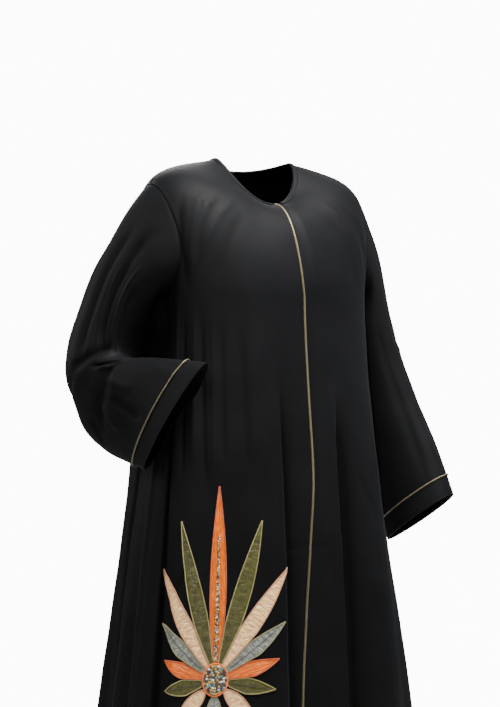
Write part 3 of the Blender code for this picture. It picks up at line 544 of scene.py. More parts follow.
def fold_height(angle, drop):
    """Sum of ridges, each a raised cosine with a share of a straight-sided ridge for a crisper crest."""
    height = np.zeros(np.broadcast(angle, drop).shape)
    for top, hem, start, depth, before, after in FOLDS:
        down = (drop - start) / (HEM_DROP - start)
        ridge = top + (hem - top) * np.clip(down, 0.0, 1.0)
        away = wrapped(angle - ridge)
        reach = np.clip(np.where(away < 0, -away / before, away / after), 0.0, 1.0)
        grown = between(drop, (start, FOLD_FULL_DROP))
        rounded = 0.5 * (1.0 + np.cos(math.pi * reach))
        height = height + depth * grown * (rounded + FOLD_CRISPNESS * (1.0 - reach - rounded))
    return height


def body_point(angle, level):
    """Down to the armpit a superellipse from the neck edge to the armpit ring, below it the ring itself.

    The press of the arm draws the side in, and the folds move each point away from the middle.
    """
    angle, level = np.broadcast_arrays(np.asarray(angle, float), np.asarray(level, float))
    side, ahead = plan(angle)
    turned = np.radians(angle)
    facing = np.cos(turned)
    neck_x = NECK_HALF_WIDTH * np.sin(turned)
    neck_y = -np.where(facing > 0, NECK_FRONT, NECK_BACK) * facing
    neck_z = -np.where(facing > 0, NECK_FRONT_DROP, NECK_BACK_DROP) * np.abs(facing) ** NECK_DIP
    below = np.clip(level - LEVEL_ARMPIT, 0.0, LEVEL_HEM - LEVEL_ARMPIT)
    drop = ARMPIT_DROP + below * (HEM_DROP - ARMPIT_DROP) / (LEVEL_HEM - LEVEL_ARMPIT)
    ring_x, ring_y = ring_point(angle, drop)

    sideways = np.sin(turned) ** 2
    middle = np.where(ahead > 0, ROUND_CHEST, ROUND_BACK)
    power = middle + (ROUND_SHOULDER - middle) * sideways**1.5
    turn = np.clip(level / LEVEL_ARMPIT, 0.0, 1.0) * math.pi / 2
    rise, run = np.cos(turn), np.sin(turn)
    scale = (np.abs(rise) ** power + np.abs(run) ** power) ** (-1.0 / power)
    out, up = run * scale, rise * scale
    reach = np.hypot(ring_x - neck_x, ring_y - neck_y)
    slope = SHOULDER_SLOPE * sideways * reach
    yoke_z = neck_z - slope * out - (ARMPIT_DROP + neck_z - slope) * (1.0 - up)

    in_yoke = level < LEVEL_ARMPIT
    x = np.where(in_yoke, neck_x + (ring_x - neck_x) * out, ring_x)
    y = np.where(in_yoke, neck_y + (ring_y - neck_y) * out, ring_y)
    z = np.where(in_yoke, yoke_z, -drop)

    near_side = bell(np.abs(wrapped(angle)) - 90.0, PINCH_SPREAD)
    pinch = smooth(RING["drop"], RING["pinch"], drop) * near_side
    pinch = pinch * between(level, (PINCH_START, LEVEL_ARMPIT))
    x = x - np.sign(side) * pinch
    height = fold_height(angle, drop) * step((level - LEVEL_ARMPIT) / FOLDS_FADE_IN)
    length = np.maximum(np.hypot(x, y), 1.0)
    x = x + height * x / length
    y = y + height * y / length
    return np.stack([x, y, z], axis=-1)


def body_normal(angle, level):
    """Cross product of the slopes down and round the body, outwards."""
    return outward(body_point, angle, level, NEARBY, LEVEL_HEM)


def soft_lines(rows, angle, down, pace_u, pace_v):
    """Sum of soft lines between two places each: height times a bell across, fading in and out along."""
    over, rise = CREASE_FADE
    total = np.zeros(np.broadcast(angle, down).shape)
    for angle_a, down_a, angle_b, down_b, width, height in rows:
        to_u, to_v = (angle_b - angle_a) * pace_u, (down_b - down_a) * pace_v
        u, v = wrapped(angle - angle_a) * pace_u, (down - down_a) * pace_v
        t = (u * to_u + v * to_v) / (to_u**2 + to_v**2)
        off = (u * to_v - v * to_u) / math.hypot(to_u, to_v)
        fade = step((t + over) / rise) * step((1.0 + over - t) / rise)
        total = total + height * fade * bell(off, width)
    return total


def pleats(angle, down):
    """Sum of one-sided folds: crest·e^(s/back) left of the edge, then -hollow·e^(-s/run) right of it."""
    total = np.zeros(np.broadcast(angle, down).shape)
    for angle_a, down_a, angle_b, down_b, crest, hollow, run in PLEATS:
        edge = angle_a + (angle_b - angle_a) * (down - down_a) / (down_b - down_a)
        past = wrapped(angle - edge) * CREASE_PACE
        fallen = step(past / PLEAT_SIDE)
        before = crest * np.exp(np.minimum(past, 0.0) / PLEAT_BACK) * (1.0 - fallen)
        after = hollow * fallen * np.exp(-np.maximum(past - PLEAT_SIDE, 0.0) / run)
        total = total + (before - after) * step((down - down_a) / PLEAT_GROWS)
    return total


def waves(u, v):
    """Sum of sines, each along its own direction over the cloth."""
    total = 0.0
    for length, direction, phase, height in CLOTH_WAVES:
        turn = math.radians(direction)
        gone = u * math.cos(turn) + v * math.sin(turn)
        total = total + height * np.sin(2 * math.pi * gone / length + phase)
    return total


def way_down(level):
    """250 times the level above the armpit, the drop below it."""
    below = ARMPIT_DROP + (level - LEVEL_ARMPIT) * (HEM_DROP - ARMPIT_DROP)
    return np.where(level < LEVEL_ARMPIT, level * ARMPIT_DROP / LEVEL_ARMPIT, below)


def creases(angle, level):
    """The soft lines and the one-sided folds of the body."""
    down = way_down(level)
    return soft_lines(BODY_CREASES, angle, down, CREASE_PACE, 1.0) + pleats(angle, down)


def cloth_lift(angle, level):
    """Creases and unevenness of the body cloth, dying out at the neck edge."""
    turn = np.radians(angle)
    slanted = way_down(level) - WAVE_SLANT * WAVE_REACH * np.cos(turn)
    uneven = waves(WAVE_REACH * np.sin(turn), slanted)
    return (creases(angle, level) + uneven) * between(level, CALM_NEAR_NECK)


def cloth_point(angle, level):
    """The body surface moved out along its normal by the cloth's lift."""
    angle, level = np.broadcast_arrays(np.asarray(angle, float), np.asarray(level, float))
    return body_point(angle, level) + body_normal(angle, level) * cloth_lift(angle, level)[..., None]


def cloth_normal(angle, level):
    """Cross product of the slopes down and round the creased cloth, outwards."""
    return outward(cloth_point, angle, level, NEARBY, LEVEL_HEM)


def pace_round(angle, level):
    """Millimetres for each degree round the body."""
    ends = body_point(angle + 0.5, level) - body_point(angle - 0.5, level)
    return np.linalg.norm(ends, axis=-1)


def opening_angle(level):
    """The angle of the right front's free edge, from its place in millimetres off the middle."""
    beside = np.full_like(level, OPENING_PROBE)
    width = body_point(beside, level) - body_point(-beside, level)
    place = smooth(OPEN["level"], OPEN["place"], level)
    return place * (2.0 * OPENING_PROBE) / np.linalg.norm(width, axis=-1)


def side_edge(sign, behind, level):
    """The side edge of a panel: the shoulder seam, the armhole's ellipse, then the side seam."""
    away = (level - ARMHOLE_MIDDLE) / ARMHOLE_HALF_LEVEL
    armhole = ARMHOLE_HALF_ANGLE * arch(away)
    pace = pace_round(sign * np.full_like(level, 90.0), level)
    gap = 0.5 * SEAM_GAP / np.maximum(pace, LEAST_PACE)
    return sign * (90.0 + (1.0 if behind else -1.0) * (armhole + gap))


def panel_levels():
    """Rows of a panel: closer in the yoke and at both ends of the armhole, then even to the hem."""
    yoke = np.linspace(0.0, LEVEL_TIP, YOKE_ROWS // 3 + 1)[:-1]
    turns = np.linspace(math.pi / 2, -math.pi / 2, YOKE_ROWS - YOKE_ROWS // 3 + 1)
    by_arm = ARMHOLE_MIDDLE - ARMHOLE_HALF_LEVEL * np.sin(turns)
    below = np.linspace(LEVEL_ARMPIT, LEVEL_HEM, SKIRT_ROWS + 1)[1:]
    return np.concatenate([yoke, by_arm, below])


def run_of(points, axis):
    """Distance gone along an axis of a grid of points."""
    steps = np.linalg.norm(np.diff(points, axis=axis), axis=-1)
    start = np.zeros_like(np.take(steps, [0], axis=axis))
    return np.concatenate([start, np.cumsum(steps, axis=axis)], axis=axis)


def grid_faces(index):
    """Quads of a grid of numbers, one for each of its cells."""
    return np.stack([index[:-1, :-1], index[:-1, 1:], index[1:, 1:], index[1:, :-1]], -1).reshape(-1, 4)


def numbered(rows, columns, closed=False):
    """Numbers of a grid's points. A closed grid has its first column once more at its end."""
    index = np.arange(rows * columns).reshape(rows, columns)
    return np.concatenate([index, index[:, :1]], axis=1) if closed else index


def mark_hollows(piece, hollow):
    """Keeps how deep in a fold each point lies, 0 to 1, for the painted shade that the finish puts in the
    hollows. Both faces of the sheet get it.
    """
    depth = np.clip(hollow / HOLLOW_FULL, 0.0, 1.0).ravel()
    layer = piece.data.attributes.new("hollow", "FLOAT", "POINT")
    layer.data.foreach_set("value", np.concatenate([depth, depth]).astype(np.float32))


def mesh_piece(name, points, faces, finish, corner_uv=None, sharp=40.0):
    """One piece from points in millimetres and quads, turned to face outwards, with a UV for each corner."""
    points = np.asarray(points, float).reshape(-1, 3) * METRES
    a, b, c, d = (points[faces[:, k]] for k in range(4))
    volume = np.einsum("ij,ij->i", a, np.cross(b, c) + np.cross(c, d)).sum()
    if volume < 0:
        faces = faces[:, ::-1]
        corner_uv = None if corner_uv is None else corner_uv[:, ::-1]
    mesh = bpy.data.meshes.new(name)
    mesh.from_pydata(points.tolist(), [], faces.tolist())
    if corner_uv is not None:
        layer = mesh.uv_layers.new(name="cloth")
        layer.uv.foreach_set("vector", (np.asarray(corner_uv) * METRES).astype(np.float32).ravel())
    mesh.shade_smooth()
    mesh.set_sharp_from_angle(angle=math.radians(sharp))
    mesh.materials.append(finish)
    piece = bpy.data.objects.new(name, mesh)
    bpy.context.scene.collection.objects.link(piece)
    return piece


def shell_piece(name, outer, inner, uv, finish, closed=False):
    """A closed thin sheet between two grids of points, with rims round its edges.

    A closed grid has one more column of UVs than of points, and joins its last column to its first.
    """
    index = numbered(*outer.shape[:2], closed)
    uv_index = numbered(*uv.shape[:2])
    skin, skin_uv = grid_faces(index), grid_faces(uv_index)
    count = outer.shape[0] * outer.shape[1]
    faces = [skin, skin[:, ::-1] + count]
    uvs = [skin_uv, skin_uv[:, ::-1]]
    edges = [(index[0], uv_index[0]), (index[-1, ::-1], uv_index[-1, ::-1])]
    if not closed:
        edges += [(index[::-1, 0], uv_index[::-1, 0]), (index[:, -1], uv_index[:, -1])]
    for edge, edge_uv in edges:
        p, q = edge[:-1], edge[1:]
        faces.append(np.stack([q, p, p + count, q + count], 1))
        p, q = edge_uv[:-1], edge_uv[1:]
        uvs.append(np.stack([q, p, p, q], 1))
    points = np.concatenate([outer.reshape(-1, 3), inner.reshape(-1, 3)])
    corner_uv = uv.reshape(-1, 2)[np.concatenate(uvs)]
    return mesh_piece(name, points, np.concatenate(faces), finish, corner_uv)


def end_quads(sides):
    """Quads that shut a ring with an even number of sides."""
    k = np.arange(sides // 2 - 1)
    return np.stack([k, k + 1, sides - 2 - k, sides - 1 - k], 1)


def rope_piece(name, path, normal, radius, finish, strands=3, pitch=7.0, depth=0.2, sides=8, closed=False):
    """A twisted cord: the radius swells as |cos| of the turn less the twist, once for each strand."""
    if closed:
        ahead = np.roll(path, -1, axis=0) - np.roll(path, 1, axis=0)
        gone = run_of(np.concatenate([path, path[:1]]), 0)
        pitch = gone[-1] / max(round(gone[-1] / pitch), 1)
    else:
        ahead = np.gradient(path, axis=0)
        gone = run_of(path, 0)
    ahead = unit(ahead)
    across = unit(np.cross(ahead, normal))
    upright = np.cross(across, ahead)
    turn = np.arange(sides) * 2 * math.pi / sides
    twist = turn[None, :] - 2 * math.pi * gone[: len(path), None] / pitch
    swell = radius * (1.0 - depth + depth * np.abs(np.cos(0.5 * strands * twist)))
    ring = across[:, None] * np.cos(turn)[None, :, None] + upright[:, None] * np.sin(turn)[None, :, None]
    points = path[:, None] + ring * swell[..., None]
    index = numbered(len(path), sides, closed=True)
    if closed:
        index = np.concatenate([index, index[:1]], axis=0)
    faces = [grid_faces(index)]
    u = np.linspace(0.0, 2 * math.pi * radius, sides + 1)
    uv = np.stack(np.broadcast_arrays(u[None, :], gone[:, None]), -1)
    uvs = [uv.reshape(-1, 2)[grid_faces(numbered(*uv.shape[:2]))]]
    if not closed:
        last = (len(path) - 1) * sides
        for cap in (end_quads(sides)[:, ::-1], end_quads(sides) + last):
            faces.append(cap)
            uvs.append(np.zeros((len(cap), 4, 2)))
    return mesh_piece(name, points, np.concatenate(faces), finish, np.concatenate(uvs), sharp=70.0)


def ball_cloud(name, centres, normals, radii, finish):
    """Many small balls in one mesh: rings of latitude round each centre, shut by small flat ends."""
    lat = np.radians(np.array(BALL_RINGS))
    lon = np.arange(BALL_SIDES) * 2 * math.pi / BALL_SIDES
    ball = np.stack(np.broadcast_arrays(
        np.cos(lat)[:, None] * np.cos(lon)[None, :],
        np.cos(lat)[:, None] * np.sin(lon)[None, :],
        BEAD_STRETCH * np.sin(lat)[:, None],
    ), -1).reshape(-1, 3)
    side = unit(np.cross(normals, ASKEW))
    other = np.cross(normals, side)
    axes = np.stack([side, other, normals], axis=1)
    points = centres[:, None] + radii[:, None, None] * np.einsum("pk,nkx->npx", ball, axes)
    index = numbered(len(lat), len(lon), closed=True)
    end = end_quads(BALL_SIDES)
    quads = np.concatenate([grid_faces(index), end[:, ::-1], end + index[-1, 0]])
    faces = (np.arange(len(centres))[:, None, None] * len(ball) + quads[None]).reshape(-1, 4)
    return mesh_piece(name, points, faces, finish, sharp=80.0)


class Value:
    """A shader socket that takes part in arithmetic. Each operator adds its Math node."""

    def __init__(self, finish, socket):
        self.finish = finish
        self.socket = socket

    def math(self, operation, *operands):
        """The operation's Math node, with the operands in its sockets."""
        return self.finish.add("ShaderNodeMath", {"operation": operation}, dict(enumerate(operands)))

    def __add__(self, other):
        return self.math("ADD", self, other)

    def __radd__(self, other):
        return self.math("ADD", other, self)

    def __sub__(self, other):
        return self.math("SUBTRACT", self, other)

    def __rsub__(self, other):
        return self.math("SUBTRACT", other, self)

    def __mul__(self, other):
        return self.math("MULTIPLY", self, other)

    def __rmul__(self, other):
        return self.math("MULTIPLY", other, self)

    def sine(self):
        """The sine of the value in radians."""
        return self.math("SINE", self)

    def range(self, low, high):
        """The value from low to high as 0 to 1, held at both ends."""
        return self.finish.add(
            "ShaderNodeMapRange", {"clamp": True}, {"Value": self, "From Min": low, "From Max": high}
        )

    def mix(self, first, second):
        """The first colour where the value is 0 and the second where it is 1."""
        return self.finish.add(
            "ShaderNodeMix", {"data_type": "RGBA"}, {"Factor": self, "A": first, "B": second}
        )


class Finish:
    """One material. Its constants sit on the shader's own sockets, and what varies is fed from nodes."""

    def __init__(self, name, colour, constants):
        self.made = bpy.data.materials.new(name)
        self.made.use_nodes = True
        self.tree = self.made.node_tree
        self.shader = self.tree.nodes["Principled BSDF"]
        self.feed(self.shader.inputs["Base Color"], colour)
        for socket, value in constants.items():
            self.feed(self.shader.inputs[socket], value)

    def feed(self, socket, value):
        """A link, or the socket's own value. A colour of three numbers gets its alpha."""
        if isinstance(value, Value):
            self.tree.links.new(value.socket, socket)
        elif socket.type == "RGBA" and len(value) == 3:
            socket.default_value = (*value, 1.0)
        else:
            socket.default_value = value

    def add(self, kind, settings=None, inputs=None, output=0):
        """A node of a type, its settings first, then its sockets by name or number."""
        node = self.tree.nodes.new(kind)
        for key, setting in (settings or {}).items():
            setattr(node, key, setting)
        for key, value in (inputs or {}).items():
            if isinstance(key, int):
                socket = node.inputs[key]
            else:
                socket = next(s for s in node.inputs if s.enabled and s.name == key)
            self.feed(socket, value)
        shown = [s for s in node.outputs if s.enabled]
        return Value(self, shown[output])

    def place(self):
        """Object coordinates, in metres."""
        return self.add("ShaderNodeTexCoord", output=3)

    def cloth_map(self):
        """The piece's own map: across the cloth and down it, in metres."""
        return self.add("ShaderNodeUVMap", {"uv_map": "cloth"})

    def across_and_down(self):
        """The two parts of the piece's own map."""
        spot = self.cloth_map()
        split = "ShaderNodeSeparateXYZ"
        return self.add(split, None, {0: spot}, 0), self.add(split, None, {0: spot}, 1)

    def noise(self, vector, scale, detail=2.0, roughness=0.5, distortion=0.0):
        """Soft noise between 0 and 1 over a vector."""
        return self.add("ShaderNodeTexNoise", None, {
            "Vector": vector, "Scale": scale, "Detail": detail, "Roughness": roughness,
            "Distortion": distortion,
        })

    def map_noise(self, across, down, *settings):
        """Noise over the piece's own map, with its own scale across the cloth and down it."""
        scaled = self.add(
            "ShaderNodeVectorMath", {"operation": "MULTIPLY"}, {0: self.cloth_map(), 1: (across, down, 1.0)}
        )
        return self.noise(scaled, 1.0, *settings)

    def varies(self, socket, value):
        """Feeds one of the shader's sockets from nodes."""
        self.feed(self.shader.inputs[socket], value)

    def tints(self, tone, colour, dark, light):
        """The base colour between a darker and a lighter shade of a colour, as the tone goes from 0 to 1."""
        self.varies("Base Color", tone.mix(shade(colour, dark), shade(colour, light)))

    def bumps(self, height, distance, strength):
        """Height in units of the distance, as a bump on the surface."""
        normal = self.add(
            "ShaderNodeBump", None, {"Strength": strength, "Distance": distance, "Height": height}
        )
        self.varies("Normal", normal)


def shade(colour, factor):
    """A colour made lighter or darker."""
    return tuple(min(part * factor, 1.0) for part in colour)


BLACK = (0.0042, 0.0043, 0.0047)
GOLD = (0.130, 0.106, 0.053)
SATIN = {
    "orange": (0.76, 0.128, 0.0),
    "olive": (0.072, 0.069, 0.020),
    "peach": (1.0, 0.50, 0.22),
    "silver": (0.205, 0.218, 0.185),
}
EDGE = {
    "orange": (0.42, 0.060, 0.002),
    "olive": (0.22, 0.185, 0.045),
    "peach": (0.42, 0.18, 0.085),
    "silver": (0.20, 0.18, 0.07),
}
RIB = (0.022, 0.014, 0.010)
# Each kind of bead, and the share of the draw that it ends at
BEADS = (
    ("brown", (0.055, 0.025, 0.014), 0.34),
    ("gold", (0.50, 0.30, 0.08), 0.58),
    ("mustard", (0.42, 0.24, 0.05), 0.76),
    ("pearl", (0.80, 0.77, 0.70), 0.88),
    ("teal", (0.10, 0.28, 0.30), 1.01),
)
# Threads and noise of the finishes, for each metre across and down. A satin's third number is how deep its
# folds are in metres.
CREPE_THREADS = (5600.0, 5200.0)
CREPE_SLUBS = (900.0, 160.0)
CREPE_GRAIN = 420.0
CREPE_CLOUD = 7.0
CORD_FIBRES = (2600.0, 2300.0)
CORD_WEAR = (300.0, 90.0)
STITCHES = (900.0, 6400.0)
SATIN_FOLDS = {
    "orange": (300.0, 55.0, 0.0009),
    "olive": (70.0, 130.0, 0.0008),
    "peach": (75.0, 210.0, 0.0019),
    "silver": (70.0, 190.0, 0.0024),
}
SATIN_FINE = 1400.0
SOFT_SPREAD = (0.3, 0.7)


def crepe(name, roughness):
    """Black crepe with a satin face: crossed threads, slubs along them, a soft bloom and painted shade that
    darkens the fold hollows.
    """
    finish = Finish(name, BLACK, {
        "Specular IOR Level": 0.06, "Sheen Weight": 0.012, "Sheen Roughness": 0.38,
        "Sheen Tint": (0.85, 0.9, 1.0),
    })
    place = finish.place()
    across, down = finish.across_and_down()
    threads = (across * CREPE_THREADS[0]).sine() * (down * CREPE_THREADS[1]).sine()
    slubs = finish.map_noise(*CREPE_SLUBS, 2.0)
    grain = finish.noise(place, CREPE_GRAIN, 2.0, 0.6)
    cloud = finish.noise(place, CREPE_CLOUD, 3.0, 0.55, 0.4)
    # painted shade: the base colour goes much darker deep in the fold hollows, where shade falls, and the
    # hollows are also rougher
    hollow = finish.add("ShaderNodeAttribute", {"attribute_name": "hollow"}, output=2)
    lit = 1.0 - hollow * 0.9
    tone = (cloud.range(*SOFT_SPREAD) * 0.35 + slubs * 0.25 + 0.4) * lit
    finish.tints(tone, BLACK, 0.1, 1.45)
    finish.varies("Roughness", roughness - 0.05 + cloud * 0.07 + slubs * 0.05 + hollow * 0.4)
    finish.bumps(threads * 0.25 + slubs * 0.5 + grain * 0.6, 0.00022, 0.55)
    return finish.made


def gold_cord():
    """Twisted metallic yarn: bright fibres that follow the twist, painted lighter on their crests and darker
    between them, over patches of wear.
    """
    finish = Finish("twisted_gold_yarn", GOLD, {
        "Metallic": 0.35, "Roughness": 0.38, "Sheen Weight": 0.12, "Sheen Roughness": 0.4,
    })
    across, down = finish.across_and_down()
    fibre = (across * CORD_FIBRES[0] + down * CORD_FIBRES[1]).sine()
    worn = finish.map_noise(*CORD_WEAR, 3.0)
    # painted shade: the tone follows the fibre ridges of the bump, lighter on their crests and darker
    # between them; the wear is random tone
    tone = worn.range(*SOFT_SPREAD) * 0.6 + fibre * 0.2 + 0.2
    finish.tints(tone, GOLD, 0.62, 1.25)
    finish.varies("Roughness", 0.30 + worn * 0.2)
    finish.bumps(fibre * 0.5 + worn, 0.00012, 0.8)
    return finish.made


def satin(colour):
    """Crinkled satin: fine folds along or across the petal, with a painted highlight on their crests and
    painted shade in their hollows, over a random cloud of tone.
    """
    finish = Finish(f"{colour}_satin", SATIN[colour], {
        "Specular IOR Level": 0.4, "Sheen Weight": 0.05, "Sheen Roughness": 0.3,
    })
    across, down, deep = SATIN_FOLDS[colour]
    folds = finish.map_noise(across, down, 2.0, 0.45, 0.9)
    fine = finish.map_noise(SATIN_FINE, SATIN_FINE, 1.0)
    cloud = finish.noise(finish.place(), 60.0, 2.0)
    ridge = folds.range(0.36, 0.66)
    # painted highlight and shade: the base colour follows the fold height of the bump, lighter on the crests
    # and darker in the hollows; the cloud adds random tone
    finish.tints(ridge * 0.7 + cloud * 0.3, SATIN[colour], 0.66, 1.34)
    finish.varies("Roughness", 0.26 + fine * 0.14)
    finish.bumps(ridge + fine * 0.06, deep, 0.9)
    return finish.made


def stitched(name, colour):
    """Close satin stitches laid over a cord: one ridge for each thread, painted lighter on its crest and
    darker between threads.
    """
    finish = Finish(name, colour, {"Specular IOR Level": 0.5, "Sheen Weight": 0.15})
    across, down = finish.across_and_down()
    thread = (down * STITCHES[1] + across * STITCHES[0]).sine()
    cloud = finish.noise(finish.place(), 140.0, 2.0)
    # painted shade: the tone follows the thread ridges of the bump, lighter on their crests and darker
    # between them; the cloud is random tone
    finish.tints(cloud.range(*SOFT_SPREAD) * 0.6 + thread * 0.2 + 0.2, colour, 0.72, 1.28)
    finish.varies("Roughness", 0.38 + cloud * 0.14)
    finish.bumps(thread, 0.0002, 0.7)
    return finish.made


def glass(name, colour):
    """A small bead: bright gloss over a colour that is a little different from bead to bead."""
    finish = Finish(name, colour, {"Coat Weight": 0.5, "Coat Roughness": 0.08, "Specular IOR Level": 0.6})
    patch = finish.noise(finish.place(), 210.0, 1.0)
    finish.tints(patch.range(*SOFT_SPREAD), colour, 0.75, 1.2)
    finish.varies("Roughness", 0.14 + patch * 0.12)
    return finish.made


def worn_by(piece, slot, *nodes):
    """The piece moves with the cloak and stands for the named solids, which are hidden. Its slot is not
    used.
    """
    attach(piece, "root")
    if nodes:
        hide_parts(*nodes)
    return piece


def panel_piece(name, node, edges, columns, finish, sunk=None, free_edge=None):
    """A body panel between two edges: cloth surface, a hollow at each seam and a turned hem."""
    levels = panel_levels()
    first, last = edges(levels)
    share = np.linspace(0.0, 1.0, columns + 1)
    angle = first[:, None] + (last - first)[:, None] * share[None, :]
    level = np.broadcast_to(levels[:, None], angle.shape)
    normal = cloth_normal(angle, level)
    outer = cloth_point(angle, level)
    u, v = run_of(outer, 1), run_of(outer, 0)
    sink = np.zeros_like(u)
    for side, gone in enumerate((u, u[:, -1:] - u)):
        if side != free_edge:
            sink = sink + groove(gone, PANEL_SEAM) + groove(gone, PANEL_RIDGE)
    from_hem = v[-1:] - v
    sink = sink - HEM_PROUD * (1.0 - step((from_hem - HEM_DEPTH) / HEM_STEP))
    sink = sink + groove(from_hem, HEM_STITCH)
    if sunk is not None:
        sink = sink + sunk(angle, level)
    outer = outer - normal * sink[..., None]
    middle = [columns // 2]
    uv = np.stack(np.broadcast_arrays(u - u[:, middle], v[:, middle]), -1)
    piece = shell_piece(name, outer, outer - SHELL * normal, uv, finish)
    # depth of the folds, kept for the painted shade in their hollows
    mark_hollows(piece, -creases(angle, level))
    return worn_by(piece, "cloth", node)


def tuck(angle, level):
    """How far the left front lies in under the right front and its cord."""
    past = angle - opening_angle(level)
    return OVERLAP * (1.0 - between(past, (TUCK_FLAT_ANGLE, TUCK_END_ANGLE)))


def sleeve_line(table, along):
    """The front point, the back point, and the reaches and lifts of a sleeve at places along it."""
    at = table["along"]
    front = np.stack([smooth(at, table["front_" + k], along) for k in "xyz"], axis=-1)
    back = np.stack([smooth(at, table["back_" + k], along) for k in "xyz"], axis=-1)
    return front, back, {k: smooth(at, table[k], along) for k in SIDE_COLUMNS}


def sleeve_loft(table, turn, along):
    """Middle plus half the width times the cosine, plus the outer or inner reach times the sine."""
    front, back, sides = sleeve_line(table, along)
    middle = 0.5 * (front + back)
    half = front - middle
    axis = unit(half)
    level_out = unit(np.stack([-axis[..., 1], axis[..., 0], np.zeros_like(axis[..., 0])], axis=-1))
    angle = np.radians(turn)
    across = 0.0
    outwards = np.sin(angle)
    for name, share in (("outer", np.maximum(outwards, 0.0)), ("inner", np.minimum(outwards, 0.0))):
        tilt = np.radians(sides[name + "_lift"])[..., None]
        side = level_out * np.cos(tilt) + UP * np.sin(tilt)
        side = unit(side - axis * (side * axis).sum(axis=-1, keepdims=True))
        across = across + side * (sides[name] * share)[..., None]
    return middle + half * np.cos(angle)[..., None] + across


def armhole_place(turn, shrink):
    """Angle and level of the armhole's edge at a turn round the sleeve, drawn in by a share."""
    angle = np.radians(turn)
    level = ARMHOLE_MIDDLE - ARMHOLE_HALF_LEVEL * shrink * np.sin(angle)
    return 90.0 - ARMHOLE_HALF_ANGLE * shrink * np.cos(angle), level


def clear_of_body(point, along):
    """Moves sleeve points outwards until they are clear of the body's side."""
    drop = np.clip(-point[..., 2], ARMPIT_DROP, HEM_DROP)
    angle = 90.0 + np.degrees(np.arctan2(point[..., 1], np.maximum(point[..., 0], 1.0)))
    reach = np.maximum(point[..., 0], CLEARANCE_LEAST_X)
    for _ in range(CLEARANCE_ROUNDS):
        skin = body_point(angle, level_at(drop))
        angle = angle + np.degrees((point[..., 1] - skin[..., 1]) / reach)
    short = skin[..., 0] + SLEEVE_CLEARANCE - point[..., 0]
    push = 0.5 * (short + np.sqrt(short * short + CLEARANCE_ROUNDING))
    below = between(-point[..., 2] - ARMPIT_DROP, CLEARANCE_STARTS) * between(along, CLEARANCE_ALONG)
    moved = point.copy()
    moved[..., 0] = moved[..., 0] + np.where(short > -CLEARANCE_REACH, push, 0.0) * below
    return moved


def sleeve_sink(v):
    """How far a sleeve's cloth sinks into the seams at its two ends, by the distance down it."""
    return groove(v, SLEEVE_HEAD_SEAM) + groove(v[-1:] - v, SLEEVE_END_SEAM)


def band_sink(v):
    """How far a hem band sinks into its seam and its line of stitches; between them it stands proud."""
    return groove(v, BAND_SEAM) - BAND_PROUD + groove(v[-1:] - v, BAND_STITCH)


